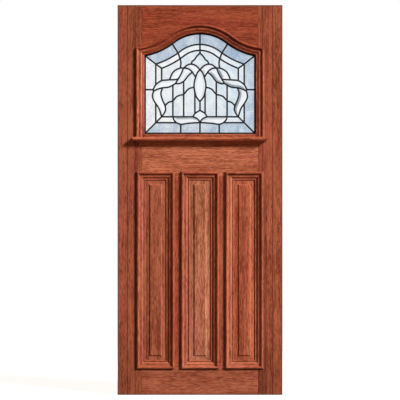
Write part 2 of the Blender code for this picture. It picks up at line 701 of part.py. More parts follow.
def inset_rings(loop, *distances):
    """The closed line moved inwards by each distance, without the sides that the largest one uses up."""
    straight_within = 1e-6
    sides = [(a, (b - a).normalized()) for a, b in zip(loop, loop[1:] + loop[:1])]
    pairs = list(zip(sides[-1:] + sides, sides))
    sides = [side for before, side in pairs if before[1].cross(side[1]) ** 2 > straight_within]
    while True:
        met = corners(sides, max(distances))
        lengths = [(end - start).dot(side[1]) for start, end, side in zip(met, met[1:] + met[:1], sides)]
        shortest = min(range(len(lengths)), key=lengths.__getitem__)
        if lengths[shortest] > SHORTEST_SIDE:
            return [corners(sides, distance) for distance in distances]
        del sides[shortest]


def bevel_ring(loop, width):
    """The closed line moved inwards to the top of the bevel, less where the glass is narrow."""
    ring = []
    parallel_within = 1e-9
    count = len(loop)
    for i, spot in enumerate(loop):
        before = (spot - loop[i - 1]).normalized()
        after = (loop[(i + 1) % count] - spot).normalized()
        along = (before + after).normalized()
        inward = Vector((-along.y, along.x))
        across = []
        for j in range(count):
            a, b = loop[j], loop[(j + 1) % count]
            side = b - a
            turn = inward.cross(side)
            if i in (j, (j + 1) % count) or abs(turn) < parallel_within:
                continue
            reach = (a - spot).cross(side) / turn
            share = (a - spot).cross(inward) / turn
            if reach > 0 and 0 <= share <= 1:
                across.append(reach)
        ring.append(spot + inward * min(width, BEVEL_SHARE * min(across)))
    return ring


def bevelled_cells(cells):
    """Name and closed line of each clear bevelled piece."""
    places = {"almond": ALMOND_PLACE}
    for name, (x, z) in BEVELLED.items():
        places[f"left_{name}"] = (x, z)
        places[f"right_{name}"] = (-x, z)
    found = {}
    for name, spot in places.items():
        (found[name],) = [cell for cell in cells if holds(cell, from_field(spot))]
    return found


def upright(loop, y):
    """A closed line of (x, z) at this depth."""
    return [(spot.x, y, spot.y) for spot in loop]


def bevelled_glass(name, cell):
    """Clear glass with its edge in the cames and a bevel all round its front."""
    heart = CAME_HEART / 2
    edge, foot = inset_rings(cell, heart + GLASS_PLAY, HALF_CAME + GLASS_PLAY)
    half_edge = BEVEL_GLASS_EDGE / 2
    rings = [
        upright(edge, BACK * half_edge),
        upright(edge, FRONT * half_edge),
        upright(foot, FRONT * half_edge),
        upright(bevel_ring(foot, BEVEL_WIDTH), FRONT * (half_edge + BEVEL_RISE)),
    ]
    glass = loft(name, rings, material(name, CLEAR, roughness=0.03, transmission=1.0))
    glass.location.y = LIGHT_Y


def filled_outline(outline, holes):
    """The mesh of one flat face with holes, drawn as a curve, with y as the height of its points."""
    curve = bpy.data.curves.new("outline", "CURVE")
    curve.dimensions = "2D"
    curve.fill_mode = "BOTH"
    for loop in [outline, *holes]:
        spline = curve.splines.new("POLY")
        spline.points.add(len(loop) - 1)
        for point, (x, z) in zip(spline.points, loop):
            point.co = (x, z, 0, 1)
        spline.use_cyclic_u = True
    drawn = bpy.data.objects.new("outline", curve)
    PIECES.objects.link(drawn)
    mesh = bpy.data.meshes.new_from_object(drawn.evaluated_get(bpy.context.evaluated_depsgraph_get()))
    bpy.data.objects.remove(drawn)
    return mesh


def leaded_light():
    """The soldered cames with the flat glass fused in, and a pocket for each bevelled piece."""
    cells = light_cells()
    bevelled = bevelled_cells(cells)
    rim = arch_line(-LIGHT_EDGE_COVER, SIGHT_HALF_WIDTH + LIGHT_EDGE_COVER)
    foot = SIGHT_BOTTOM - LIGHT_EDGE_COVER
    right = [Vector((rim[-1].x, foot)), *rim[::-1]]
    outline = [*right, *[Vector((-spot.x, spot.y)) for spot in right[-2::-1]]]
    half = CAME_HEIGHT / 2
    shape = bmesh.new()
    openings = []
    walls = [[upright(outline, FRONT * half), upright(outline, BACK * half)]]
    for cell in cells:
        if cell in bevelled.values():
            heart, _, opening = inset_rings(cell, CAME_HEART / 2, HALF_CAME + GLASS_PLAY, HALF_CAME)
            lip = BEVEL_GLASS_EDGE / 2 + GLASS_PLAY
            outer = [upright(opening, -half), upright(opening, -lip), upright(heart, -lip)]
            inner = [upright(heart, lip), upright(opening, lip), upright(opening, half)]
            walls.append(outer + inner)
        else:
            (opening,) = inset_rings(cell, HALF_CAME)
            for side in (FRONT, BACK):
                pane = upright(opening, side * FLAT_GLASS / 2)
                walls.append([upright(opening, side * half), pane])
                shape.faces.new([shape.verts.new(point) for point in pane])
        openings.append(opening)
    for rings in walls:
        loops = [[shape.verts.new(point) for point in ring] for ring in rings]
        for near, far in zip(loops, loops[1:]):
            for i in range(len(near)):
                shape.faces.new((near[i - 1], near[i], far[i], far[i - 1]))
    face = filled_outline(outline, openings)
    for side in (FRONT, BACK):
        made = [shape.verts.new((vert.co.x, side * half, vert.co.y)) for vert in face.vertices]
        for polygon in face.polygons:
            shape.faces.new([made[i] for i in polygon.vertices])
    bmesh.ops.remove_doubles(shape, verts=shape.verts, dist=MERGE_WITHIN)
    bmesh.ops.recalc_face_normals(shape, faces=shape.faces)
    mesh = bpy.data.meshes.new("leaded_light")
    shape.to_mesh(mesh)
    shape.free()
    light = place("leaded_light", mesh, material("leaded_light", LEAD_GREY, roughness=0.55, metallic=0.6))
    light.location.y = LIGHT_Y
    for name, cell in bevelled.items():
        bevelled_glass(f"bevelled_glass_{name}", cell)


def main():
    frame()
    panels()
    glazing_trim()
    shelf()
    leaded_light()


main()
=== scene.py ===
"""Dresses a packed hardwood front door: timbers, panels and mouldings, a leaded light, and a pale studio.

Metres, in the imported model's frame: the outside face looks towards -Y, and +X is to the right from outside.
Shapes are worked out in the leaf's own frame, x from its middle and z from its foot, and placed by at().
"""

import math

import bmesh
import bpy
import numpy as np
from bpy.props import FloatProperty, FloatVectorProperty, IntProperty, PointerProperty
from mathutils import Matrix, Vector, geometry


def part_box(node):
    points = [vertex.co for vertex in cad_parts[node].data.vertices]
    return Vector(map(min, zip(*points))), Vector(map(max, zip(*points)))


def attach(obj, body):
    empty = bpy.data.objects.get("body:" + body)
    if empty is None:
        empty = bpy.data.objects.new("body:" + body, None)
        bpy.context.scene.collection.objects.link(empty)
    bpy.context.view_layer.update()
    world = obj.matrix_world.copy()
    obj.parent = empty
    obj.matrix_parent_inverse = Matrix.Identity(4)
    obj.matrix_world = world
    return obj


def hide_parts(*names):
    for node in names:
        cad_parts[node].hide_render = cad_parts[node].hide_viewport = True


bl_info = {
    "name": "Stained glass front door",
    "version": (1, 0, 0),
    "blender": (4, 5, 0),
    "location": "View3D > Sidebar > Door",
    "description": "Dresses a panelled hardwood door leaf with an arched leaded light",
    "category": "Object",
}

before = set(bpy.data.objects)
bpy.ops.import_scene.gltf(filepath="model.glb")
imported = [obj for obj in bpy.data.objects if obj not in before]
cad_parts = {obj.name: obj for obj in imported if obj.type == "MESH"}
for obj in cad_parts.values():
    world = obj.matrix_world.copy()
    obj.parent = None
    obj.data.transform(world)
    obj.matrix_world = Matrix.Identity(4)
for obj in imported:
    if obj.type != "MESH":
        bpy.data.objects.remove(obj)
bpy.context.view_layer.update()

# The leaf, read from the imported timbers
HINGE_LOW, HINGE_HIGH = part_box("hinge_stile")
LOCK_LOW, LOCK_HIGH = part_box("lock_stile")
MIDDLE_X = (HINGE_LOW.x + LOCK_HIGH.x) / 2
FOOT_Z = HINGE_LOW.z
LEAF_HEIGHT = HINGE_HIGH.z - HINGE_LOW.z
HALF_THICKNESS = HINGE_HIGH.y
OPENING_HALF_WIDTH = LOCK_LOW.x - MIDDLE_X
LOCK_RAIL_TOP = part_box("lock_rail")[1].z - FOOT_Z
LOCK_RAIL_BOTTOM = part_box("lock_rail")[0].z - FOOT_Z
BOTTOM_RAIL_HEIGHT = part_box("bottom_rail")[1].z - FOOT_Z
MUNTIN_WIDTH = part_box("muntin_left")[1].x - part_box("muntin_left")[0].x
PANEL_OPENING_WIDTH = (2 * OPENING_HALF_WIDTH - 2 * MUNTIN_WIDTH) / 3
PANEL_PITCH = PANEL_OPENING_WIDTH + MUNTIN_WIDTH
PANEL_CENTRES = {"left": -PANEL_PITCH, "middle": 0.0, "right": PANEL_PITCH}
JOINT_GAP = 0.0003
FRONT = -1
BACK = 1
MIRROR = Vector((-1, 1))

# The arched light: its sight line is the edge of the wood round the glass
TOP_RAIL_AT_CROWN = 0.129
LIGHT_HEIGHT = 0.514
GLAZING_LIP = 0.012
SILL_LIP = 0.016
CROWN_RADIUS = 0.221
CROWN_HALF_ANGLE = math.radians(38)
SHOULDER_END_SLOPE = math.radians(10)
SIGHT_CROWN = LEAF_HEIGHT - TOP_RAIL_AT_CROWN - GLAZING_LIP
SIGHT_BOTTOM = SIGHT_CROWN - LIGHT_HEIGHT
SIGHT_HALF_WIDTH = OPENING_HALF_WIDTH - GLAZING_LIP
CROWN_CENTRE = Vector((0, SIGHT_CROWN - CROWN_RADIUS))
SHOULDER_RADIUS = (SIGHT_HALF_WIDTH - CROWN_RADIUS * math.sin(CROWN_HALF_ANGLE)) / (
    math.sin(CROWN_HALF_ANGLE) - math.sin(SHOULDER_END_SLOPE)
)
SHOULDER_CENTRE = CROWN_CENTRE + (CROWN_RADIUS + SHOULDER_RADIUS) * Vector(
    (math.sin(CROWN_HALF_ANGLE), math.cos(CROWN_HALF_ANGLE))
)
CORNER_MITRE = math.tan(math.pi / 4 - SHOULDER_END_SLOPE / 2)
CROWN_STEPS = 26
SHOULDER_STEPS = 22

# Mouldings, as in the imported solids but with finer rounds
MOULDING_WIDTH = 0.044
MOULDING_PROUD = 0.012
NOSING_RADIUS = 0.0068
INNER_BEAD_RADIUS = 0.004
PANEL_BEAD_DEPTH = 0.0072
GLAZING_BEAD_DEPTH = 0.0028
QUIRK = 0.0012
HOLLOW_HEIGHT = 0.0015
HOLLOW_WIDTH = 0.005
CREST_INSET = 0.0195
PANEL_CREST_HEIGHT = 0.0024
GLAZING_CREST_HEIGHT = 0.0045
OGEE_SHOULDER = 0.0045
OGEE_LIFT = 0.0010
PANEL_LIP = 0.017
BACK_BEAD_ROUND = 0.006
ARC_STEPS = 12
HOLLOW_STEPS = 12
OGEE_STEPS = 14
SHARP_ABOVE = math.radians(32)

# Raised panels
PANEL_EDGE_THICKNESS = 0.028
FIELD_THICKNESS = 0.041
FIELD_BEVEL = 0.005
PANEL_MARGIN = 0.0185
FIELD_BEVEL_WIDTH = 0.0075
PANEL_PLAY = 0.0005

# Shelf moulding and sill bead
SHELF_HEIGHT = 0.045
SHELF_PROJECTION = 0.036
SHELF_PAST_SIGHT = 0.023
SHELF_FILLET = 0.012
SHELF_FILLET_STEP = 0.002
SHELF_OVOLO = 0.009
SHELF_COVE_FOOT = 0.002
SHELF_BEAD = 0.004
SILL_PROUD = 0.006
SILL_ROUND = 0.005

# Leaded light
LIGHT_SETBACK = 0.011
PACKED_CAME_HEIGHT = 0.0064
LIGHT_Y = LIGHT_SETBACK + PACKED_CAME_HEIGHT / 2 - HALF_THICKNESS
PACKED_CAME_WIDTH = 0.0055
FRAME_CAME_SHOWING = 0.008
LIGHT_EDGE_COVER = 0.010
FRAME_LINE = FRAME_CAME_SHOWING - PACKED_CAME_WIDTH / 2
CAME_HEART = 0.0018
OUTER_BORDER = 0.058
INNER_BORDER = 0.030
FIELD_INSET = OUTER_BORDER + INNER_BORDER
SHORTEST_SIDE = 0.0003
CURVE_STEPS = 6

# The drawn pattern's own measures: its field is the space inside the borders, x from the middle of the light
# and z from the bottom of the field.
DRAWN_FIELD_HALF_WIDTH = 0.195
DRAWN_FIELD_HEIGHT = 0.338
DRAWN_RIM = 0.030
RADIAL_ON_FRAME = 0.140
RADIAL_ON_BORDER = 0.112
RADIAL_ON_FIELD = 0.1016
RADIAL_BEND = (0.097, 0.276)
ARCH_TOP = (0.100, 0.248)
RIBBON_ON_FIELD = (0.195, 0.184)
RIBBON_ON_BORDER = (0.225, 0.163)
RIBBON_WIDEST = (0.237, 0.138)
TAIL_ON_BORDER = (0.225, 0.067)
LEAF_LOWEST = (0.098, -0.038)
KITE_SIDE = ((0, 0.324), (0.017, 0.307), (0.028, 0.291), (0.040, 0.281), (0.044, 0.268))
INNER_PETAL_TOP = (
    (0.085, 0.2475), (0.074, 0.256), (0.060, 0.265), (0.044, 0.268), (0.021, 0.260), (0, 0.2395),
)
RIBBON_ARCH = (
    (0.155, 0.188), (0.141, 0.221), (0.126, 0.2365), ARCH_TOP, (0.085, 0.2475),
    (0.0635, 0.246), (0.048, 0.2365), (0.039, 0.227), (0.022, 0.201),
)
FOLD = ((0.085, 0.2475), (0.093, 0.225), (0.104, 0.2035), (0.111, 0.192), (0.124, 0.1705))
RIBBON_UNDERSIDE = (
    (0.039, 0.227), (0.060, 0.209), (0.072, 0.193), (0.083, 0.180), (0.097, 0.172), (0.112, 0.168),
    (0.124, 0.1705),
)
RIBBON_TOP = (
    (0.111, 0.192), (0.128, 0.189), (0.155, 0.188), (0.175, 0.1865), RIBBON_ON_FIELD, (0.210, 0.1755),
    RIBBON_ON_BORDER, (0.2345, 0.147), RIBBON_WIDEST, (0.236, 0.131),
)
RIBBON_BOTTOM = (
    (0.236, 0.131), (0.214, 0.141), (0.190, 0.1475), (0.161, 0.1505), (0.138, 0.161), (0.124, 0.1705),
)
TAIL_OUTER = (
    (0.236, 0.131), (0.241, 0.1125), (0.240, 0.095), (0.232, 0.078), TAIL_ON_BORDER, (0.208, 0.041),
    (0.195, 0),
)
TAIL_INNER = (
    (0.190, 0.1475), (0.1976, 0.128), (0.1986, 0.1125), (0.190, 0.0836), (0.178, 0.056), (0.175, 0.039),
    (0.180, 0.022), (0.195, 0),
)
ALMOND_SIDE = (
    (0, 0.2395), (0.013, 0.225), (0.022, 0.201), (0.029, 0.174), (0.030, 0.150), (0.026, 0.127),
    (0.020, 0.105), (0.009, 0.088), (0, 0.078),
)
WAVE = (
    (0.178, 0.056), (0.161, 0.073), (0.138, 0.0815), (0.118, 0.103), (0.100, 0.110), (0.083, 0.115),
    (0.060, 0.140), (0.042, 0.148), (0.030, 0.150),
)
DIAMOND_TOP = ((0, 0.033), (0.016, 0.0235), (0.026, 0.0165), (0.036, 0))
DIAMOND_BOTTOM = ((0.036, 0), (0.0165, -0.008), (0.006, -0.0185), (0, -0.029))
LEAF_END = ((0.138, 0), (0.133, -0.015), (0.120, -0.030))
LEAF_BOTTOM = ((0.120, -0.030), LEAF_LOWEST, (0.060, -0.033), (0, -0.029))
CURVED_LINES = (
    KITE_SIDE, INNER_PETAL_TOP, RIBBON_ARCH, FOLD, RIBBON_UNDERSIDE, RIBBON_TOP, RIBBON_BOTTOM, TAIL_OUTER,
    TAIL_INNER, ALMOND_SIDE, WAVE, DIAMOND_TOP, DIAMOND_BOTTOM, LEAF_END, LEAF_BOTTOM,
)
STRAIGHT_LINES = (
    ((0.138, 0.161), (0.138, 0.0815), (0.138, 0)),
    ((0.083, 0.180), (0.083, 0.115), (0.083, 0)),
    ((0.026, 0.127), (0.026, 0.0165)),
    ((0.195, 0), (0.138, 0), (0.083, 0), (0.036, 0)),
)
BEVELLED = {
    "inner_petal": (-0.045, 0.255),
    "ribbon_fold": (-0.080, 0.215),
    "ribbon_turn": (-0.128, 0.215),
    "ribbon_arm": (-0.185, 0.165),
    "ribbon_tail": (-0.215, 0.100),
    "leaf": (-0.080, -0.015),
}
ALMOND_PLACE = (0, 0.160)
# Painted shade on each clear piece, for the darker surroundings its bevels refract: how strong, and towards
# which side
PAINTED_BEVEL_SHADES = {
    "almond": (0.30, (1.0, 0.1)),
    "left_leaf": (0.70, (-0.3, 1.0)),
    "right_leaf": (0.50, (-0.3, 1.0)),
    "left_inner_petal": (0.25, (-0.5, -1.0)),
    "right_inner_petal": (0.40, (-0.6, -1.0)),
    "left_ribbon_fold": (0.25, (0.8, -0.6)),
    "right_ribbon_fold": (0.70, (-0.5, -0.9)),
    "right_ribbon_turn": (1.00, (-0.9, 0.1)),
    "right_ribbon_arm": (1.00, (-0.3, -1.0)),
    "right_ribbon_tail": (0.90, (-0.8, 0.5)),
}
# Painted shade for the clear pieces not listed above
PLAIN_BEVEL_SHADE = (0.05, (-0.6, 0.8))

# How each timber differs from the door's main colour: how bright it is, and how much redder. Mostly the
# wood's own tone; the side members of the mouldings, the arch moulding and the shelf moulding also carry
# painted light and shade for the way each faces the light
TONES_AND_PAINTED_LIGHT = {
    "hinge_stile": (0.95, -0.02),
    "lock_stile": (1.05, 0.00),
    "top_rail": (0.90, 0.24),
    "lock_rail": (1.37, -0.18),
    "bottom_rail": (1.02, -0.06),
    "muntin_left": (1.02, 0.10),
    "muntin_right": (1.06, 0.05),
    "panel_left": (0.98, -0.05),
    "panel_middle": (1.34, -0.40),
    "panel_right": (1.20, 0.00),
    "left_panel_moulding": (1.04, 0.06),
    # Painted light and shade: the members set apart by side are made lighter or darker for the way they face
    # the light
    "left_panel_moulding_left": (1.12, -0.14),
    "middle_panel_moulding": (1.08, 0.04),
    "middle_panel_moulding_left": (1.06, -0.08),
    "middle_panel_moulding_bottom": (1.20, -0.08),
    "right_panel_moulding": (1.12, 0.00),
    "right_panel_moulding_left": (1.14, -0.08),
    "right_panel_moulding_bottom": (1.24, -0.08),
    "glazing_moulding": (1.05, 0.05),
    # Painted light on the left glazing member and painted shade on the arch member
    "glazing_moulding_left": (1.28, -0.18),
    "glazing_moulding_arch": (0.84, 0.22),
    # Painted light that lifts the shelf moulding's shaded underside
    "shelf_moulding": (1.30, 0.02),
}

# Glued joints in the built-up stiles, from the middle of the leaf
SEAMS = {
    "hinge_stile_hardwood": (-0.3685, -0.329),
    "lock_stile_hardwood": (0.3685, 0.318),
}
SEAM_STARTS = 0.0036
SEAM_FULL = 0.0010
SEAM_SHARE = 0.7

# Noise in the wood: lumps in a metre along each axis, detail and roughness
SWAY = ((7, 7, 1.1), 2.0, 0.50)
DRIFT = (0.022, 0.016, 0)
RUDDY = ((24, 24, 2.6), 2.0, 0.50)
RUDDY_RANGE = (0.50, 0.68)
RUDDY_SHARE = 0.55
PORES = ((1900, 1900, 95), 1.0, 0.50)
PORE_RANGE = (0.60, 0.72)
PORE_SHARE = 0.55
PORE_TONE = 0.30
GRAIN = {
    "streaks": ((260, 260, 9), 4.0, 0.62),
    "flecks": ((380, 380, 40), 3.0, 0.60),
    "mottle": ((16, 16, 9), 2.0, 0.50),
}
BANDS_ALONG = 1.4
BANDS_DETAIL = (3.0, 0.55)
# How far each kind of noise moves the grain's tone
GRAIN_SHARES = {"bands": 1.20, "streaks": 1.80, "flecks": 2.60, "mottle": 0.50}
GRAIN_RELIEF = 0.35
PORE_RELIEF = 0.8
RELIEF_DEPTH = 0.00025

# Tones that the wood's colour is multiplied by, and how much faster blue goes than green in redder wood
BLUE_LOSS = 1.5
DARK_GRAIN = Vector((0.52, 0.38, 0.34))
LIGHT_GRAIN = Vector((1.42, 1.70, 2.30))
RUDDY_PATCHES = (1.0, 0.72, 1.08, 1)
# Painted shade for the light falling off towards the stiles' feet and heads
PAINTED_FALLOFF_SHADE = (0.80, 0.75, 0.69, 1)
DARK_STRIP = (0.50, 0.42, 0.42, 1)

# Where the stiles darken: from, to, and how much at each. At the feet and heads it is painted shade where the
# light falls off; the strip is the lock stile's own darker wood
FALLOFF_SHADE_FEET = (0.12, 0.45, 1.0, 0.0)
FALLOFF_SHADE_HEADS = (0.80, 1.15, 0.0, 0.60)
STRIP_ACROSS = (0.336, 0.344, 1.0, 0.0)
STRIP_UP = (0.95, 1.10, 0.80, 0.10)

# Painted shade along the leaf's outer edges, darker and greyer
EDGE_PAINTED_SHADE = (0.120, 0.052, 0.032, 1)
EDGE_SHADE_STARTS = 0.0110
EDGE_SHADE_FULL = 0.0050
EDGE_SHADE_SHARE = 0.72

# Lead and glass
CAME_ROUNDING = 0.30
SMALLEST_SOLDER = 0.86
LARGEST_SOLDER = 1.12
LEAD_BLOOM = (0.010, 0.013, 0.018, 1)
BLOOM_LUMPS = (60, 60, 60)
BLOOM_RANGE = (0.4, 0.75)
DENT_LUMPS = (420, 420, 420)
DENT_DEPTH = 0.0003
GLASS_IOR = 1.5
FINE_DIMPLE = 0.0016
COARSE_DIMPLE = 0.009
DIMPLE_DEPTH_SHARE = 0.12
CLOUD_LUMPS = (22, 22, 16)
CLOUD_RANGE = (0.30, 0.70)
SPECK_RANGE = (0.52, 0.66)
SPECK_SHARE = 0.30
SPECK_TONE = 0.62
# Painted reflection: the glass goes bluer towards the right
PAINTED_REFLECTION_TINT = (0.80, 0.91, 1.0, 1)
REFLECTION_TINT_SHARE = 0.50
REFLECTION_TINT_STARTS = -0.15
REFLECTION_TINT_FULL = 0.24
WHITE_GLASS = Vector((0.93, 0.95, 0.96))
CLEAR_TINT = (0.93, 0.965, 1.0, 1)
# Painted shade that the clear bevels take on
PAINTED_BEVEL_SHADE_TONE = (0.09, 0.125, 0.16, 1)
BEVEL_CLOUD_LUMPS = (38, 38, 24)

# Studio
WHITE = (1, 1, 1, 1)
KEY_DIRECTION = Vector((1.50, -1.0, 1.10))
FILL_DIRECTION = (0.45, 0.10, 0.88)
FILL_TONE = (1.0, 0.62, 0.38, 1)
FILL_RANGE = (-0.3, 1.0)
LOW_FILL = 0.36
BACK_RANGE = (0.1, 0.9)
BACK_FILL = 0.55
FLOOR_RADIUS = 3.4
FLOOR_FADE_START = 0.9
FLOOR_FADE_END = 3.2
FLOOR_GLOW = 0.86
DIM_FLOOR = (0.10, 0.10, 0.10, 1)


class DoorTimber(bpy.types.PropertyGroup):
    colour: FloatVectorProperty(
        name="Colour", description="Main colour of the wood", subtype="COLOR", size=3, min=0, max=1,
        default=(0.232, 0.0535, 0.0188),
    )
    edge_ease: FloatProperty(
        name="Eased edges", description="Width taken off each arris", default=0.0009, unit="LENGTH",
    )
    band_width: FloatProperty(
        name="Band width", description="Width of the light and dark bands", default=0.038, unit="LENGTH",
    )
    contrast: FloatProperty(
        name="Grain contrast", description="How far the grain goes from the main colour", default=1.35,
        subtype="FACTOR",
    )
    roughness: FloatProperty(
        name="Roughness", description="Roughness of the finish", default=0.50, subtype="FACTOR",
    )


class DoorGlass(bpy.types.PropertyGroup):
    came_width: FloatProperty(
        name="Came width", description="Width of the lead across its face", default=0.0084, unit="LENGTH",
    )
    came_height: FloatProperty(
        name="Came height", description="Depth of the lead, front to back", default=0.0062, unit="LENGTH",
    )
    solder_radius: FloatProperty(
        name="Solder", description="Radius of each soldered joint", default=0.0042, unit="LENGTH",
    )
    seed: IntProperty(name="Seed", description="Varies the soldered joints", default=7)
    thickness: FloatProperty(
        name="Flat glass", description="Thickness of the flat pieces", default=0.0038, unit="LENGTH",
    )
    bevelled_edge: FloatProperty(
        name="Bevelled glass edge", description="Thickness at the edge of a bevelled piece", default=0.003,
        unit="LENGTH",
    )
    bevel_width: FloatProperty(
        name="Bevel width", description="Width of the polished bevel", default=0.0110, unit="LENGTH",
    )
    bevel_rise: FloatProperty(
        name="Bevel rise", description="Height of the bevel", default=0.0028, unit="LENGTH",
    )
    field_colour: FloatVectorProperty(
        name="Field glass", description="Tint of the dimpled background glass", subtype="COLOR", size=3,
        default=(0.70, 0.79, 0.86),
    )
    border_colour: FloatVectorProperty(
        name="Border glass", description="Tint of the outer border", subtype="COLOR", size=3,
        default=(0.42, 0.53, 0.66),
    )
    lead_colour: FloatVectorProperty(
        name="Lead", description="Colour of the cames", subtype="COLOR", size=3,
        default=(0.004, 0.005, 0.008),
    )


class DoorStage(bpy.types.PropertyGroup):
    key_strength: FloatProperty(name="Key light", description="Strength of the key light", default=7.6)
    key_softness: FloatProperty(
        name="Key softness", description="Angular size of the key light", default=math.radians(12),
        subtype="ANGLE",
    )
    fill_strength: FloatProperty(name="Fill light", description="Strength of the soft fill", default=0.46)
    floor_colour: FloatVectorProperty(
        name="Floor", description="Colour of the floor", subtype="COLOR", size=3, default=(0.25, 0.25, 0.25),
    )
    lens: FloatProperty(name="Lens", description="Focal length in millimetres", default=135)
    picture_width: FloatProperty(
        name="Picture width", description="Width of the view at the door", default=2.032, unit="LENGTH",
    )


class Value:
    """An output socket that Python's operators turn into Math nodes."""

    def __init__(self, sheet, made, socket):
        self.sheet = sheet
        self.made = made
        self.socket = socket

    def other(self, name):
        """Another output of the same node."""
        return Value(self.sheet, self.made, shown(self.made.outputs, name))

    def math(self, operation, *terms):
        """A Math node on these terms."""
        return self.sheet.node("ShaderNodeMath", dict(enumerate(terms)), operation=operation)

    def __add__(self, number):
        return self.math("ADD", self, number)

    def __radd__(self, number):
        return self.math("ADD", number, self)

    def __sub__(self, number):
        return self.math("SUBTRACT", self, number)

    def __rsub__(self, number):
        return self.math("SUBTRACT", number, self)

    def __mul__(self, number):
        return self.math("MULTIPLY", self, number)

    def __rmul__(self, number):
        return self.math("MULTIPLY", number, self)


def shown(sockets, key):
    """A node's socket by its place, or the one in use that has this name."""
    if isinstance(key, int):
        return sockets[key]
    (found,) = [socket for socket in sockets if socket.enabled and socket.name == key]
    return found


class Sheet:
    """A node tree that is being drawn up. A list on an input is a link from each of its values."""

    def __init__(self, tree):
        self.tree = tree
        tree.nodes.clear()

    def node(self, kind, sockets=None, output=None, **settings):
        """A node with these values and links on its inputs, given as its named or its first output."""
        made = self.tree.nodes.new(kind)
        for name, value in settings.items():
            setattr(made, name, value)
        for key, value in (sockets or {}).items():
            socket = shown(made.inputs, key)
            for item in value if isinstance(value, list) else [value]:
                if isinstance(item, Value):
                    self.tree.links.new(item.socket, socket)
                else:
                    socket.default_value = item
        if output is not None:
            return Value(self, made, shown(made.outputs, output))
        return Value(self, made, next((socket for socket in made.outputs if socket.enabled), None))

    def place(self):
        """The point on the piece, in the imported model's frame."""
        return self.node("ShaderNodeTexCoord", output="Object")

    def axis(self, vector, name):
        """One part of a vector: X, Y or Z."""
        return self.node("ShaderNodeSeparateXYZ", {0: vector}, name)

    def vector_math(self, operation, first, second, output="Vector"):
        return self.node("ShaderNodeVectorMath", {0: first, 1: second}, output, operation=operation)

    def noise(self, spot, scale, detail=2.0, roughness=0.5, distortion=0.0):
        """Noise with this many lumps in a metre along each axis."""
        sockets = {"Vector": self.vector_math("MULTIPLY", spot, scale), "Scale": 1.0, "Detail": detail}
        sockets |= {"Roughness": roughness, "Distortion": distortion}
        return self.node("ShaderNodeTexNoise", sockets, "Fac")

    def between(self, value, low, high, at_low=0.0, at_high=1.0):
        """A smooth step from one value to another."""
        sockets = {"Value": value, "From Min": low, "From Max": high, "To Min": at_low, "To Max": at_high}
        return self.node("ShaderNodeMapRange", sockets, interpolation_type="SMOOTHSTEP")

    def mix(self, share, first, second, blend="MIX"):
        """Two colours, by share."""
        sockets = {"Factor": share, "A": first, "B": second}
        return self.node("ShaderNodeMix", sockets, data_type="RGBA", blend_type=blend)

    def bump(self, height, strength, distance):
        return self.node("ShaderNodeBump", {"Strength": strength, "Distance": distance, "Height": height})

    def surface(self, sockets):
        """Ends a material in one principled surface."""
        shader = self.node("ShaderNodeBsdfPrincipled", sockets)
        self.node("ShaderNodeOutputMaterial", {"Surface": shader})


def new_material(name):
    """A material and its empty sheet."""
    made = bpy.data.materials.new(name)
    made.use_nodes = True
    return made, Sheet(made.node_tree)


def opaque(colour):
    return (*colour, 1.0)


def tone_and_painted_light_of(name):
    """The timber's brightness and redness, its own tone with some painted light, from its own name or the
    start of it.
    """
    keys = [key for key in TONES_AND_PAINTED_LIGHT if name.startswith(key)]
    return TONES_AND_PAINTED_LIGHT[max(keys, key=len)] if keys else (1.0, 0.0)


def outer_edge(sheet):
    """1 along the leaf's own outer edges, where painted shade makes the wood darker and greyer."""
    spot = sheet.place()
    across = sheet.axis(spot, "X") - MIDDLE_X
    up = sheet.axis(spot, "Z") - (FOOT_Z + LEAF_HEIGHT / 2)
    from_side = LOCK_HIGH.x - MIDDLE_X - across.math("ABSOLUTE", across)
    from_end = LEAF_HEIGHT / 2 - up.math("ABSOLUTE", up)
    nearest = up.math("MINIMUM", from_side, from_end)
    return sheet.between(nearest, EDGE_SHADE_STARTS, EDGE_SHADE_FULL)


def falloff_shade_and_dark_strip(sheet, name, colour):
    """Painted shade darkens the stiles towards their feet and heads, where the light falls off, and the lock
    stile's inner strip is darker below.
    """
    spot = sheet.place()
    height = sheet.axis(spot, "Z") - FOOT_Z
    # Painted shade: the light falling off towards the feet and heads
    ends = sheet.between(height, *FALLOFF_SHADE_FEET) + sheet.between(height, *FALLOFF_SHADE_HEADS)
    colour = sheet.mix(ends, colour, PAINTED_FALLOFF_SHADE, "MULTIPLY")
    if name.startswith("lock"):
        strip = sheet.between(sheet.axis(spot, "X") - MIDDLE_X, *STRIP_ACROSS)
        colour = sheet.mix(strip * sheet.between(height, *STRIP_UP), colour, DARK_STRIP, "MULTIPLY")
    return colour


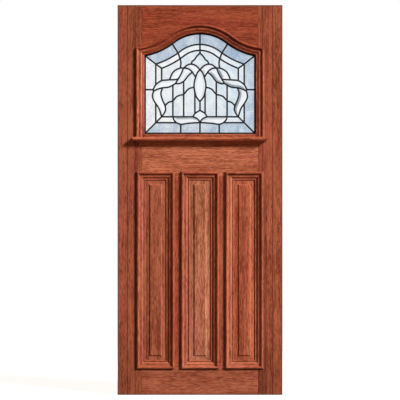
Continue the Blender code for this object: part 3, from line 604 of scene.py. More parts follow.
def wood(name, timber, level=False):
    """Hardwood with broad bands, fine streaks, short flecks and open pores, each piece from its own place."""
    made, sheet = new_material(name)
    brightness, redness = tone_and_painted_light_of(name)
    main = Vector(timber.colour) * brightness
    main.y *= 1 - redness
    main.z *= 1 - BLUE_LOSS * redness
    dark = main * DARK_GRAIN
    light = main * LIGHT_GRAIN
    letters = sum(map(ord, name))
    offset = (0.37 * (letters % 23), 0.21 * (len(name) % 7), 0.53 * (letters % 11))
    turn = (0, math.radians(90), 0) if level else (0, 0, 0)
    place = sheet.place()
    spot = sheet.node("ShaderNodeMapping", {"Vector": place, "Location": offset, "Rotation": turn})
    sway = sheet.noise(spot, *SWAY) - 0.5
    spot = sheet.vector_math("ADD", spot, sheet.vector_math("MULTIPLY", sway, DRIFT))
    across = 1 / timber.band_width
    noise = {kind: sheet.noise(spot, *values) for kind, values in GRAIN.items()}
    noise["bands"] = sheet.noise(spot, (across, across, BANDS_ALONG), *BANDS_DETAIL)
    grain = sum((noise[kind] - 0.5) * share for kind, share in GRAIN_SHARES.items())
    colour = sheet.mix(0.5 + grain * timber.contrast, opaque(dark), opaque(light))
    ruddy = sheet.between(sheet.noise(spot, *RUDDY), *RUDDY_RANGE)
    colour = sheet.mix(ruddy * RUDDY_SHARE, colour, RUDDY_PATCHES, "MULTIPLY")
    if name.endswith("stile_hardwood"):
        colour = falloff_shade_and_dark_strip(sheet, name, colour)
    open_pores = sheet.between(sheet.noise(spot, *PORES), *PORE_RANGE)
    colour = sheet.mix(open_pores * PORE_SHARE, colour, opaque(main * PORE_TONE))
    # Painted shade along the leaf's outer edges
    colour = sheet.mix(outer_edge(sheet) * EDGE_SHADE_SHARE, colour, EDGE_PAINTED_SHADE)
    for seam in SEAMS.get(name, ()):
        off = sheet.axis(place, "X") - (MIDDLE_X + seam)
        near = sheet.between(off.math("ABSOLUTE", off), SEAM_STARTS, SEAM_FULL)
        colour = sheet.mix(near * SEAM_SHARE, colour, opaque(dark / 2))
    relief = (noise["streaks"] + noise["flecks"]) * GRAIN_RELIEF - open_pores * PORE_RELIEF
    sheet.surface({
        "Base Color": colour,
        "Roughness": timber.roughness + (noise["streaks"] - 0.5) * 0.16 + open_pores * 0.2,
        "Specular IOR Level": 0.18,
        "Coat Weight": 0.04,
        "Coat Roughness": 0.38,
        "Normal": sheet.bump(relief, 0.35, RELIEF_DEPTH),
    })
    return made


def lead(name, glass):
    """Dull lead with a bluish bloom and small dents."""
    made, sheet = new_material(name)
    spot = sheet.place()
    bloom = sheet.noise(spot, BLOOM_LUMPS, 4.0)
    dents = sheet.noise(spot, DENT_LUMPS)
    colour = sheet.mix(sheet.between(bloom, *BLOOM_RANGE), opaque(glass.lead_colour), LEAD_BLOOM)
    sheet.surface({
        "Base Color": colour,
        "Specular IOR Level": 0.20,
        "Roughness": 0.45 + bloom * 0.2,
        "Normal": sheet.bump(dents, 0.4, DENT_DEPTH),
    })
    return made


def textured_glass(name, tint, cloud_tint, dimple):
    """Obscure glass: a face dimpled at this pitch and soft clouds of another tint, with a painted bluish
    reflection towards the right.
    """
    made, sheet = new_material(name)
    spot = sheet.place()
    clouds = sheet.noise(spot, CLOUD_LUMPS, 5.0, 0.6, 0.4)
    dimples = sheet.noise(spot, (1 / dimple,) * 3, 2.0, 0.6)
    specks = sheet.between(dimples, *SPECK_RANGE)
    colour = sheet.mix(sheet.between(clouds, *CLOUD_RANGE), opaque(tint), opaque(cloud_tint))
    colour = sheet.mix(specks * SPECK_SHARE, colour, opaque(tint * SPECK_TONE))
    # Painted reflection, bluer towards the right
    reflected = sheet.between(sheet.axis(spot, "X") - MIDDLE_X, REFLECTION_TINT_STARTS, REFLECTION_TINT_FULL)
    colour = sheet.mix(reflected * REFLECTION_TINT_SHARE, colour, PAINTED_REFLECTION_TINT, "MULTIPLY")
    sheet.surface({
        "Base Color": colour,
        "Roughness": 0.16 + specks * 0.10,
        "IOR": GLASS_IOR,
        "Transmission Weight": 0.9,
        "Normal": sheet.bump(dimples, 0.6, dimple * DIMPLE_DEPTH_SHARE),
    })
    return made


def bevelled_glass_material(name):
    """Clear polished glass with painted shade on its bevels where they turn away from the light side, for the
    darker surroundings they refract.
    """
    made, sheet = new_material(name)
    held = sheet.node("ShaderNodeAttribute", output="Fac", attribute_name="bevel_shade")
    clouds = sheet.noise(sheet.place(), BEVEL_CLOUD_LUMPS, 3.0)
    # Painted shade on the bevels, in clouds
    shade = held * (0.70 + clouds * 0.6)
    sheet.surface({
        "Base Color": sheet.mix(shade, CLEAR_TINT, PAINTED_BEVEL_SHADE_TONE),
        "Roughness": 0.03,
        "IOR": GLASS_IOR,
        "Transmission Weight": 1.0,
    })
    return made


def at(x, y, z):
    """A point of the leaf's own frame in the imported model's frame."""
    return (x + MIDDLE_X, y, z + FOOT_Z)


def new_object(name, data):
    """An object in the scene, at the origin."""
    made = bpy.data.objects.new(name, data)
    bpy.context.scene.collection.objects.link(made)
    return made


def declare(obj, node):
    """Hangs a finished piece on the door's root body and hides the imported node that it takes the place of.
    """
    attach(obj, "root")
    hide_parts(node)


def piece(name, mesh, finish, node):
    """A mesh in its finish, as a finished piece."""
    mesh.materials.append(finish)
    declare(new_object(name, mesh), node)


def wooden_piece(node, form, mesh, timber, level=False):
    """A timber with a finish of its own. Its grain is upright unless the piece lies level."""
    piece(f"{node}_{form}", mesh, wood(f"{node}_hardwood", timber, level), node)


def smooth(mesh):
    """Smooth shading, with a crease wherever the surface turns sharply."""
    mesh.shade_smooth()
    mesh.set_sharp_from_angle(angle=SHARP_ABOVE)
    return mesh


def join_loops(shape, loops):
    """Faces between each loop of points and the next."""
    for near, far in zip(loops, loops[1:]):
        for i in range(len(near)):
            shape.faces.new((near[i - 1], near[i], far[i], far[i - 1]))


def closed_mesh(shape, name):
    """The mesh of a closed shape, with its normals outwards."""
    bmesh.ops.recalc_face_normals(shape, faces=shape.faces)
    mesh = bpy.data.meshes.new(name)
    shape.to_mesh(mesh)
    shape.free()
    return mesh


def loft(name, rings, closed=False):
    """The mesh through rings of points. A closed one joins its last ring to its first, others get caps."""
    shape = bmesh.new()
    loops = [[shape.verts.new(point) for point in ring] for ring in rings]
    if closed:
        loops.append(loops[0])
    join_loops(shape, loops)
    if not closed:
        shape.faces.new(loops[0])
        shape.faces.new(loops[-1])
    return closed_mesh(shape, name)


def ease_edges(mesh, width, only=None):
    """Takes the sharp outer edges off a squared timber."""
    shape = bmesh.new()
    shape.from_mesh(mesh)
    square_above = math.radians(60)
    sharp = [edge for edge in shape.edges if edge.calc_face_angle(0) > square_above]
    if only is not None:
        sharp = [edge for edge in sharp if only(edge)]
    eased = bmesh.ops.bevel(shape, geom=sharp, offset=width, segments=3, profile=0.5, affect="EDGES")
    for face in eased["faces"]:
        face.smooth = True
    shape.to_mesh(mesh)
    shape.free()


def sweep(name, profile, stations, side):
    """Carries a section (u outwards from the sight line, v out from the face) through its stations."""
    rings = []
    for spot, outward, along in stations:
        ring = []
        for u, v in profile:
            moved = spot + outward * u + along * u
            ring.append(at(moved.x, side * (HALF_THICKNESS + v), moved.y))
        rings.append(ring)
    return smooth(loft(name, rings))


def arc(centre, radius, start, end, steps=ARC_STEPS):
    """Points on a round, from one angle to another, in degrees."""
    points = []
    for i in range(steps + 1):
        angle = math.radians(start + (end - start) * i / steps)
        points.append((centre[0] + radius * math.cos(angle), centre[1] + radius * math.sin(angle)))
    return points


def bend(start, leave, arrive, end, steps):
    """A smooth stretch of a section, drawn with two handles, without its two ends."""
    curve = geometry.interpolate_bezier(Vector(start), Vector(leave), Vector(arrive), Vector(end), steps + 1)
    return [(point.x, point.y) for point in curve[1:-1]]


def bolection(lip, seat, bead_depth, crest_height):
    """Section of a moulding that laps the frame: nosing, hollow, crest, an ogee fall and an inner bead."""
    nosing_centre = (MOULDING_WIDTH - NOSING_RADIUS, MOULDING_PROUD - NOSING_RADIUS)
    nosing_foot = (MOULDING_WIDTH - 2 * NOSING_RADIUS, nosing_centre[1])
    bead_centre = (INNER_BEAD_RADIUS, -bead_depth)
    crest = (CREST_INSET, crest_height)
    ogee_end = (2 * INNER_BEAD_RADIUS + QUIRK, INNER_BEAD_RADIUS - bead_depth)
    hollow = ((nosing_foot[0], HOLLOW_HEIGHT), (nosing_foot[0] - HOLLOW_WIDTH, HOLLOW_HEIGHT))
    ogee = ((crest[0] - OGEE_SHOULDER, crest[1]), (ogee_end[0] + OGEE_SHOULDER, ogee_end[1] + OGEE_LIFT))
    return [
        (0, JOINT_GAP - seat),
        (lip - JOINT_GAP, JOINT_GAP - seat),
        (lip - JOINT_GAP, JOINT_GAP),
        (MOULDING_WIDTH, JOINT_GAP),
        *arc(nosing_centre, NOSING_RADIUS, 0, 180),
        *bend(nosing_foot, *hollow, crest, HOLLOW_STEPS),
        crest,
        *bend(crest, *ogee, ogee_end, OGEE_STEPS),
        ogee_end,
        *arc(bead_centre, INNER_BEAD_RADIUS, 0, 180),
    ]


def back_bead(lip, seat):
    """Section of the plain bead that fills the opening on the inside, with one rounded edge."""
    centre = (BACK_BEAD_ROUND, -BACK_BEAD_ROUND)
    return [
        (0, JOINT_GAP - seat),
        (lip - JOINT_GAP, JOINT_GAP - seat),
        (lip - JOINT_GAP, 0),
        *arc(centre, BACK_BEAD_ROUND, 90, 180),
    ]


def straight(start, end, outward, start_mitre, end_mitre):
    """Stations of a straight piece: a mitre of 1 is 45 degrees, and of 0 a square end."""
    start, end, outward = Vector(start), Vector(end), Vector(outward)
    along = (end - start).normalized()
    trim = along * JOINT_GAP / 2
    return [(start + trim, outward, -along * start_mitre), (end - trim, outward, along * end_mitre)]


def arch_direction(angle):
    """Outwards from the arch, at this angle from straight up."""
    return Vector((math.sin(angle), math.cos(angle)))


def arch_half(inset_by=0.0):
    """(place, outward) along the right half of the arch, this far inside the sight line."""
    half = []
    for i in range(CROWN_STEPS + 1):
        outward = arch_direction(CROWN_HALF_ANGLE * i / CROWN_STEPS)
        half.append((CROWN_CENTRE + outward * (CROWN_RADIUS - inset_by), outward))
    for i in range(1, SHOULDER_STEPS):
        angle = CROWN_HALF_ANGLE + (SHOULDER_END_SLOPE - CROWN_HALF_ANGLE) * i / SHOULDER_STEPS
        outward = arch_direction(angle)
        half.append((SHOULDER_CENTRE - outward * (SHOULDER_RADIUS + inset_by), outward))
    return half


def arch_stations():
    """Stations of the arched pieces from the left corner to the right, with a mitre at each."""
    half = [(spot, outward, Vector((0, 0))) for spot, outward in arch_half()]
    outward = arch_direction(SHOULDER_END_SLOPE)
    tangent = Vector((outward.y, -outward.x))
    corner = SHOULDER_CENTRE - outward * SHOULDER_RADIUS - tangent * JOINT_GAP / 2
    nearest = MOULDING_WIDTH / SHOULDER_STEPS
    half = [station for station in half if (corner - station[0]).dot(tangent) > nearest]
    half.append((corner, outward, tangent * CORNER_MITRE))
    left = [(spot * MIRROR, outward * MIRROR, along * MIRROR) for spot, outward, along in half[:0:-1]]
    return left + half


def arch_height(inset_by, x):
    """Height of the arch at this x, on the line this far inside the sight line."""
    x = abs(x)
    radius = CROWN_RADIUS - inset_by
    if x <= radius * math.sin(CROWN_HALF_ANGLE):
        return CROWN_CENTRE.y + math.sqrt(radius**2 - x**2)
    radius = SHOULDER_RADIUS + inset_by
    return SHOULDER_CENTRE.y - math.sqrt(radius**2 - (SHOULDER_CENTRE.x - x) ** 2)


def make_timbers(timber):
    """Squared timbers with eased edges, and the top rail with the arch cut in it."""
    for node in ("hinge_stile", "lock_stile", "lock_rail", "bottom_rail", "muntin_left", "muntin_right"):
        low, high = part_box(node)
        rings = []
        for y in (low.y, high.y):
            rings.append([(low.x, y, low.z), (high.x, y, low.z), (high.x, y, high.z), (low.x, y, high.z)])
        mesh = loft(node, rings)
        ease_edges(mesh, timber.edge_ease)
        wooden_piece(node, "timber", mesh, timber, node.endswith("rail"))
    rail_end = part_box("top_rail")[1].x - MIDDLE_X
    right = [spot for spot, outward in arch_half(-GLAZING_LIP)]
    outward = arch_direction(SHOULDER_END_SLOPE)
    end = SHOULDER_CENTRE - outward * (SHOULDER_RADIUS - GLAZING_LIP)
    right.append(Vector((rail_end, end.y - (rail_end - end.x) * math.tan(SHOULDER_END_SLOPE))))
    left = [spot * MIRROR for spot in right[:0:-1]]
    outline = [*left, *right, Vector((rail_end, LEAF_HEIGHT)), Vector((-rail_end, LEAF_HEIGHT))]
    rings = [[at(spot.x, side * HALF_THICKNESS, spot.y) for spot in outline] for side in (FRONT, BACK)]
    mesh = loft("top_rail", rings)
    above_arch = SIGHT_CROWN + FOOT_Z
    ease_edges(mesh, timber.edge_ease, lambda edge: max(vert.co.z for vert in edge.verts) > above_arch)
    wooden_piece("top_rail", "timber", mesh, timber, level=True)


def rectangle(x, y, z, half_width, half_height):
    """Corners of an upright rectangle round its middle point."""
    corners_of = ((-1, -1), (1, -1), (1, 1), (-1, 1))
    return [at(x + i * half_width, y, z + j * half_height) for i, j in corners_of]


def make_panels(timber):
    """Raised panels: flat edges, a slight slope, a steep bevel and a flat field with an eased arris."""
    middle = (BOTTOM_RAIL_HEIGHT + LOCK_RAIL_BOTTOM) / 2
    half_height = (LOCK_RAIL_BOTTOM - BOTTOM_RAIL_HEIGHT) / 2
    half_width = PANEL_OPENING_WIDTH / 2
    edge_y = PANEL_EDGE_THICKNESS / 2
    field_y = FIELD_THICKNESS / 2
    slope_top = PANEL_LIP + PANEL_MARGIN
    field = slope_top + FIELD_BEVEL_WIDTH
    arris = timber.edge_ease
    steepness = FIELD_BEVEL / FIELD_BEVEL_WIDTH
    levels = [
        (field, BACK * field_y),
        (PANEL_LIP, BACK * edge_y),
        (PANEL_PLAY, BACK * edge_y),
        (PANEL_PLAY, FRONT * edge_y),
        (PANEL_LIP, FRONT * edge_y),
        (slope_top, FRONT * (field_y - FIELD_BEVEL)),
        (field - arris, FRONT * (field_y - arris * steepness)),
        (field - arris / 3, FRONT * (field_y - arris * steepness / 5)),
        (field + arris / 2, FRONT * field_y),
    ]
    for place, centre in PANEL_CENTRES.items():
        rings = [rectangle(centre, y, middle, half_width - inset, half_height - inset) for inset, y in levels]
        name = f"panel_{place}"
        wooden_piece(name, "board", loft(name, rings), timber)


def panel_frame(label, section, side, centre_x, timber):
    """Four mitred pieces round a panel, each with its grain along it."""
    half_width = PANEL_OPENING_WIDTH / 2 - PANEL_LIP
    left = centre_x - half_width
    right = centre_x + half_width
    low = BOTTOM_RAIL_HEIGHT + PANEL_LIP
    high = LOCK_RAIL_BOTTOM - PANEL_LIP
    runs = {
        "top": ((left, high), (right, high), (0, 1)),
        "bottom": ((left, low), (right, low), (0, -1)),
        "left": ((left, low), (left, high), (-1, 0)),
        "right": ((right, low), (right, high), (1, 0)),
    }
    for edge, (start, end, outward) in runs.items():
        name = f"{label}_{edge}"
        mesh = sweep(name, section, straight(start, end, outward, 1, 1), side)
        wooden_piece(name, "strip", mesh, timber, edge in ("top", "bottom"))


def make_panel_mouldings(timber):
    """Raised mouldings outside and plain beads inside, round each panel."""
    seat = HALF_THICKNESS - PANEL_EDGE_THICKNESS / 2
    front = bolection(PANEL_LIP, seat, PANEL_BEAD_DEPTH, PANEL_CREST_HEIGHT)
    for place, centre in PANEL_CENTRES.items():
        panel_frame(f"{place}_panel_moulding", front, FRONT, centre, timber)
        panel_frame(f"{place}_panel_back_bead", back_bead(PANEL_LIP, seat), BACK, centre, timber)


def make_glazing_mouldings(timber):
    """Mouldings round the light outside, beads inside, and the sill bead."""
    back_seat = 2 * HALF_THICKNESS - LIGHT_SETBACK - PACKED_CAME_HEIGHT
    corner = arch_height(0, SIGHT_HALF_WIDTH)
    front = bolection(GLAZING_LIP, LIGHT_SETBACK, GLAZING_BEAD_DEPTH, GLAZING_CREST_HEIGHT)
    back = back_bead(GLAZING_LIP, back_seat)
    sill_mitre = SILL_LIP / GLAZING_LIP
    made = {}
    for name, side in (("left", -1), ("right", 1)):
        x = side * SIGHT_HALF_WIDTH
        run = straight((x, LOCK_RAIL_TOP + JOINT_GAP / 2), (x, corner), (side, 0), 0, CORNER_MITRE)
        made[f"glazing_moulding_{name}"] = sweep("side", front, run, FRONT)
        run = straight((x, SIGHT_BOTTOM), (x, corner), (side, 0), sill_mitre, CORNER_MITRE)
        made[f"glazing_back_bead_{name}"] = sweep("side", back, run, BACK)
    made["glazing_moulding_arch"] = sweep("arch", front, arch_stations(), FRONT)
    made["glazing_back_bead_arch"] = sweep("arch", back, arch_stations(), BACK)
    ends = ((-SIGHT_HALF_WIDTH, SIGHT_BOTTOM), (SIGHT_HALF_WIDTH, SIGHT_BOTTOM))
    run = straight(*ends, (0, -1), 1 / sill_mitre, 1 / sill_mitre)
    made["glazing_back_bead_bottom"] = sweep("bottom", back_bead(SILL_LIP, back_seat), run, BACK)
    made["sill_bead"] = sill_mesh()
    for name, mesh in made.items():
        level = name.endswith(("arch", "bottom", "sill_bead"))
        wooden_piece(name, "strip", mesh, timber, level)


def sill_mesh():
    """The narrow bead on the lock rail, with a rounded front edge."""
    low = LOCK_RAIL_TOP + JOINT_GAP
    section = [
        (JOINT_GAP - LIGHT_SETBACK, low),
        (SILL_PROUD, low),
        *arc((SILL_PROUD - SILL_ROUND, SIGHT_BOTTOM - SILL_ROUND), SILL_ROUND, 0, 90),
        (JOINT_GAP - LIGHT_SETBACK, SIGHT_BOTTOM),
    ]
    half = SIGHT_HALF_WIDTH - JOINT_GAP
    rings = [[at(x, FRONT * (HALF_THICKNESS + v), z) for v, z in section] for x in (-half, half)]
    return smooth(loft("sill_bead", rings))


def make_shelf(timber):
    """The shelf moulding: fillet, ovolo, cove and bead, returned at both ends."""
    ovolo_top = SHELF_PROJECTION - SHELF_FILLET_STEP
    ovolo_foot = ovolo_top - SHELF_OVOLO
    cove_top = SHELF_FILLET + SHELF_OVOLO
    cove_height = SHELF_HEIGHT - SHELF_BEAD - cove_top
    cove_reach = ovolo_foot - SHELF_COVE_FOOT
    ease = timber.edge_ease
    top = arc((SHELF_PROJECTION - ease, -ease), ease, 90, 0, 3)
    section = [(x, -z) for x, z in top]
    section += [(SHELF_PROJECTION, SHELF_FILLET), (ovolo_top, SHELF_FILLET)]
    section += [(x, -z) for x, z in arc((ovolo_foot, -SHELF_FILLET), SHELF_OVOLO, 0, -90)[1:]]
    for i in range(1, ARC_STEPS + 1):
        angle = math.pi / 2 * i / ARC_STEPS
        reach = ovolo_foot - cove_reach * math.sin(angle)
        section.append((reach, cove_top + cove_height * (1 - math.cos(angle))))
    bead = arc((SHELF_COVE_FOOT, SHELF_BEAD / 2 - SHELF_HEIGHT), SHELF_BEAD / 2, 90, -90)
    section += [(x, -z) for x, z in bead[1:]]
    rings = []
    back = FRONT * (HALF_THICKNESS + JOINT_GAP)
    for reach, depth in section:
        half = SIGHT_HALF_WIDTH + SHELF_PAST_SIGHT + reach
        front = FRONT * (HALF_THICKNESS + reach)
        z = LOCK_RAIL_TOP - depth
        rings.append([at(-half, front, z), at(half, front, z), at(half, back, z), at(-half, back, z)])
    mesh = smooth(loft("shelf_moulding", rings))
    wooden_piece("shelf_moulding", "run", mesh, timber, level=True)


def from_field(point):
    """A point of the drawn pattern, placed in the leaf."""
    x, z = point
    half_width = SIGHT_HALF_WIDTH - FIELD_INSET
    rim = INNER_BORDER / DRAWN_RIM
    across = min(abs(x), DRAWN_FIELD_HALF_WIDTH) * half_width / DRAWN_FIELD_HALF_WIDTH
    across += max(abs(x) - DRAWN_FIELD_HALF_WIDTH, 0) * rim
    up = z * rim if z < 0 else z * (LIGHT_HEIGHT - 2 * FIELD_INSET) / DRAWN_FIELD_HEIGHT
    return Vector((math.copysign(across, x), SIGHT_BOTTOM + FIELD_INSET + up))


def rounded(points):
    """A smooth line through the points, each of which it keeps exactly."""
    spots = [Vector(point) for point in points]
    before = [2 * spots[0] - spots[1], *spots[:-1]]
    after = [*spots[1:], 2 * spots[-1] - spots[-2]]
    line = [spots[0]]
    for i in range(len(spots) - 1):
        start, end = spots[i], spots[i + 1]
        reach = (end - start).length
        leave = (end - before[i]).normalized() * reach
        arrive = (after[i + 1] - start).normalized() * reach
        for j in range(1, CURVE_STEPS):
            t = j / CURVE_STEPS
            line.append(
                start * (2 * t**3 - 3 * t**2 + 1) + leave * (t**3 - 2 * t**2 + t)
                + end * (3 * t**2 - 2 * t**3) + arrive * (t**3 - t**2)
            )
        line.append(end)
    return line


def arch_line(inset_by, half_width, stops):
    """The right half of a line parallel to the arch, which has a point at each of these stops."""
    pieces_across = 44
    places = {half_width * i / pieces_across for i in range(pieces_across + 1)}
    clear_of_stops = half_width / pieces_across / 3
    places = [x for x in places if all(abs(x - stop) > clear_of_stops for stop in stops)]
    return [Vector((x, arch_height(inset_by, x))) for x in sorted([*places, *stops])]


def came_lines():
    """Every came's middle line, on both halves."""
    radial_x = [from_field((x, 0)).x for x in (RADIAL_ON_FRAME, RADIAL_ON_BORDER, RADIAL_ON_FIELD)]
    right = []
    corners = []
    radial = []
    for inset_by, x in zip((FRAME_LINE, OUTER_BORDER, FIELD_INSET), radial_x):
        half_width = SIGHT_HALF_WIDTH - inset_by
        right.append(arch_line(inset_by, half_width, [0, x, half_width]))
        radial.append(Vector((x, arch_height(inset_by, x))))
        corners.append((right[-1][-1], Vector((half_width, SIGHT_BOTTOM + inset_by))))
    right.append(rounded([*radial, from_field(RADIAL_BEND), from_field(ARCH_TOP)]))
    (frame_top, frame_foot), (outer_top, outer_foot), (field_top, field_foot) = corners
    widest = from_field(RIBBON_WIDEST)
    lowest = from_field(LEAF_LOWEST)
    right += [
        [frame_top, frame_foot, Vector((0, frame_foot.y))],
        [outer_top, from_field(RIBBON_ON_BORDER)],
        [from_field(TAIL_ON_BORDER), outer_foot, from_field(LEAF_END[-1])],
        [field_top, from_field(RIBBON_ON_FIELD)],
        [frame_top, outer_top, field_top],
        [frame_foot, outer_foot, field_foot],
        [widest, Vector((frame_foot.x, widest.y))],
        [lowest, Vector((lowest.x, frame_foot.y))],
    ]
    right += [rounded([from_field(point) for point in line]) for line in CURVED_LINES]
    right += [[from_field(point) for point in line] for line in STRAIGHT_LINES]
    lines = right + [[point * MIRROR for point in line] for line in right]
    crown = Vector((0, arch_height(FRAME_LINE, 0)))
    lines.append([crown, from_field(KITE_SIDE[0])])
    lines.append([from_field(ALMOND_SIDE[-1]), from_field(DIAMOND_TOP[0])])
    lines.append([from_field(DIAMOND_BOTTOM[-1]), Vector((0, SIGHT_BOTTOM + FRAME_LINE))])
    return lines


def signed_area(loop):
    """Area of a closed line, above 0 where it runs anticlockwise."""
    return sum(a.cross(b) for a, b in zip(loop, loop[1:] + loop[:1])) / 2


def lead_plan():
    """The crossed came lines: points, edges, and the closed line of each space between them."""
    spots = []
    edges = []
    for line in came_lines():
        first = len(spots)
        spots += line
        edges += [(first + i, first + i + 1) for i in range(len(line) - 1)]
    keep_polygons = 3
    merge_within = 1e-5
    crossed = geometry.delaunay_2d_cdt(spots, edges, [], keep_polygons, merge_within)
    spots = crossed[0]
    around = {i: [] for i in range(len(spots))}
    for a, b in crossed[1]:
        around[a].append(b)
        around[b].append(a)
    for i, others in around.items():
        others.sort(key=lambda j: math.atan2(spots[j].y - spots[i].y, spots[j].x - spots[i].x))
    cells = []
    inner = set()
    unwalked = {(a, b) for a in around for b in around[a]}
    for start in sorted(unwalked):
        if start not in unwalked:
            continue
        loop = []
        a, b = start
        while (a, b) in unwalked:
            unwalked.remove((a, b))
            loop.append(a)
            a, b = b, around[b][around[b].index(a) - 1]
        if signed_area([spots[i] for i in loop]) > 0:
            cells.append([spots[i] for i in loop])
            inner.update(zip(loop, loop[1:] + loop[:1]))
    shared = [(a, b) for a, b in crossed[1] if (a, b) in inner and (b, a) in inner]
    joints = {i for i, others in around.items() if len(others) > 2}
    return spots, shared, joints, cells


def holds(loop, spot):
    """Whether a closed line goes round a point."""
    inside = False
    for a, b in zip(loop, loop[1:] + loop[:1]):
        if (a.y > spot.y) != (b.y > spot.y) and spot.x < a.x + (spot.y - a.y) * (b.x - a.x) / (b.y - a.y):
            inside = not inside
    return inside


def corners_of_sides(sides, distance):
    """Where a closed line's sides meet once each has moved inwards."""
    nearly_straight = 0.02
    met = []
    for before, side in zip(sides[-1:] + sides, sides):
        (last, last_along), (start, along) = before, side
        moved = start + Vector((-along.y, along.x)) * distance
        turn = last_along.cross(along)
        if abs(turn) > nearly_straight:
            last_moved = last + Vector((-last_along.y, last_along.x)) * distance
            moved = moved - along * (last_along.cross(moved - last_moved) / turn)
        met.append(moved)
    return met


def inset_rings(loop, *distances):
    """The closed line moved inwards by each distance, without the sides that the largest one uses up."""
    straight_within = 1e-7
    sides = [(a, (b - a).normalized()) for a, b in zip(loop, loop[1:] + loop[:1])]
    pairs = list(zip(sides[-1:] + sides, sides))
    sides = [side for before, side in pairs if before[1].cross(side[1]) ** 2 > straight_within]
    while True:
        met = corners_of_sides(sides, max(distances))
        lengths = [(end - start).dot(side[1]) for start, end, side in zip(met, met[1:] + met[:1], sides)]
        shortest = min(range(len(lengths)), key=lengths.__getitem__)
        if lengths[shortest] > SHORTEST_SIDE:
            return [corners_of_sides(sides, distance) for distance in distances]
        del sides[shortest]


def distances(spots, loop):
    """How far each point is from a closed line."""
    start = np.array([tuple(spot) for spot in loop])
    side = np.roll(start, -1, axis=0) - start
    offset = np.array(spots)[:, None, :] - start[None]
    share = np.clip((offset * side).sum(2) / (side**2).sum(1), 0, 1)
    return np.linalg.norm(offset - share[..., None] * side, axis=2).min(1)


def bevelled_front(loop, glass):
    """A net over a closed line, raised by its distance from the edge: points, heights, faces and rim."""
    spacings_in_bevel = 7
    spacing = glass.bevel_width / spacings_in_bevel
    row = spacing * math.sqrt(3) / 2
    low = Vector((min(spot.x for spot in loop), min(spot.y for spot in loop)))
    high = Vector((max(spot.x for spot in loop), max(spot.y for spot in loop)))
    grid = []
    for j in range(int((high.y - low.y) / row) + 1):
        for i in range(int((high.x - low.x) / spacing) + 2):
            spot = Vector((low.x + (i - j % 2 / 2) * spacing, low.y + j * row))
            if holds(loop, spot):
                grid.append(spot)
    clear = distances(grid, loop) > spacing / 2
    inside = [spot for spot, kept in zip(grid, clear) if kept]
    count = len(loop)
    sides = [(i, (i + 1) % count) for i in range(count)]
    triangles_inside = 1
    merge_within = 1e-7
    made = geometry.delaunay_2d_cdt(
        [*loop, *inside], sides, [list(range(count))], triangles_inside, merge_within
    )
    spots, faces, origins = made[0], made[2], made[3]
    rise = np.clip(distances(spots, loop) / glass.bevel_width, 0, 1)
    heights = glass.bevel_rise * np.sin(rise * math.pi / 2)
    rim = {start: i for i, starts in enumerate(origins) for start in starts if start < count}
    return spots, heights, faces, [rim[i] for i in range(count)]


def bevelled_cells(cells):
    """Name and closed line of each clear bevelled piece."""
    places = {"almond": ALMOND_PLACE}
    for name, (x, z) in BEVELLED.items():
        places[f"left_{name}"] = (x, z)
        places[f"right_{name}"] = (-x, z)
    found = {}
    for name, spot in places.items():
        (found[name],) = [cell for cell in cells if holds(cell, from_field(spot))]
    return found


def upright(loop, y):
    """A closed line of the leaf at this depth from the middle of the light."""
    return [at(spot.x, LIGHT_Y + y, spot.y) for spot in loop]


def came_tree():
    """Nodes that turn the crossed lines into lead cames with a soldered joint wherever they meet."""
    tree = bpy.data.node_groups.new("lead_came_net", "GeometryNodeTree")
    inputs = {
        "Plan": "Geometry", "Came width": "Float", "Came height": "Float", "Edge rounding": "Float",
        "Solder size": "Vector", "Solder seed": "Int", "Finish": "Material",
    }
    keys = {}
    for label, kind in inputs.items():
        made = tree.interface.new_socket(label, in_out="INPUT", socket_type=f"NodeSocket{kind}")
        keys[label] = made.identifier
    tree.interface.new_socket("Lead", in_out="OUTPUT", socket_type="NodeSocketGeometry")
    sheet = Sheet(tree)
    given = sheet.node("NodeGroupInput")
    size = {"Width": given.other("Came width"), "Height": given.other("Came height")}
    section = sheet.node("GeometryNodeCurvePrimitiveQuadrilateral", size)
    fillet = {"Curve": section, "Radius": given.other("Edge rounding"), "Limit Radius": True, "Count": 4}
    section = sheet.node("GeometryNodeFilletCurve", fillet, mode="POLY")
    lines = sheet.node("GeometryNodeMeshToCurve", {"Mesh": given.other("Plan")})
    lines = sheet.node("GeometryNodeSetCurveNormal", {"Curve": lines}, mode="Z_UP")
    run = {"Curve": lines, "Profile Curve": section, "Fill Caps": True}
    cames = sheet.node("GeometryNodeCurveToMesh", run)
    drop = sheet.node("GeometryNodeMeshIcoSphere", {"Radius": 1.0, "Subdivisions": 3}, "Mesh")
    spread = {"Min": SMALLEST_SOLDER, "Max": LARGEST_SOLDER, "Seed": given.other("Solder seed")}
    uneven = sheet.node("FunctionNodeRandomValue", spread, data_type="FLOAT")
    size = {"Vector": given.other("Solder size"), "Scale": uneven}
    scale = sheet.node("ShaderNodeVectorMath", size, operation="SCALE")
    joint = sheet.node(
        "GeometryNodeInputNamedAttribute", {"Name": "joint"}, "Attribute", data_type="BOOLEAN"
    )
    dots = {"Points": given.other("Plan"), "Selection": joint, "Instance": drop, "Scale": scale}
    solder = sheet.node("GeometryNodeInstanceOnPoints", dots)
    joined = sheet.node("GeometryNodeJoinGeometry", {"Geometry": [cames, solder]})
    whole = sheet.node("GeometryNodeRealizeInstances", {"Geometry": joined})
    whole = sheet.node("GeometryNodeSetShadeSmooth", {"Geometry": whole, "Shade Smooth": True})
    material = given.other("Finish")
    whole = sheet.node("GeometryNodeSetMaterial", {"Geometry": whole, "Material": material})
    sheet.node("NodeGroupOutput", {"Lead": whole})
    return tree, keys


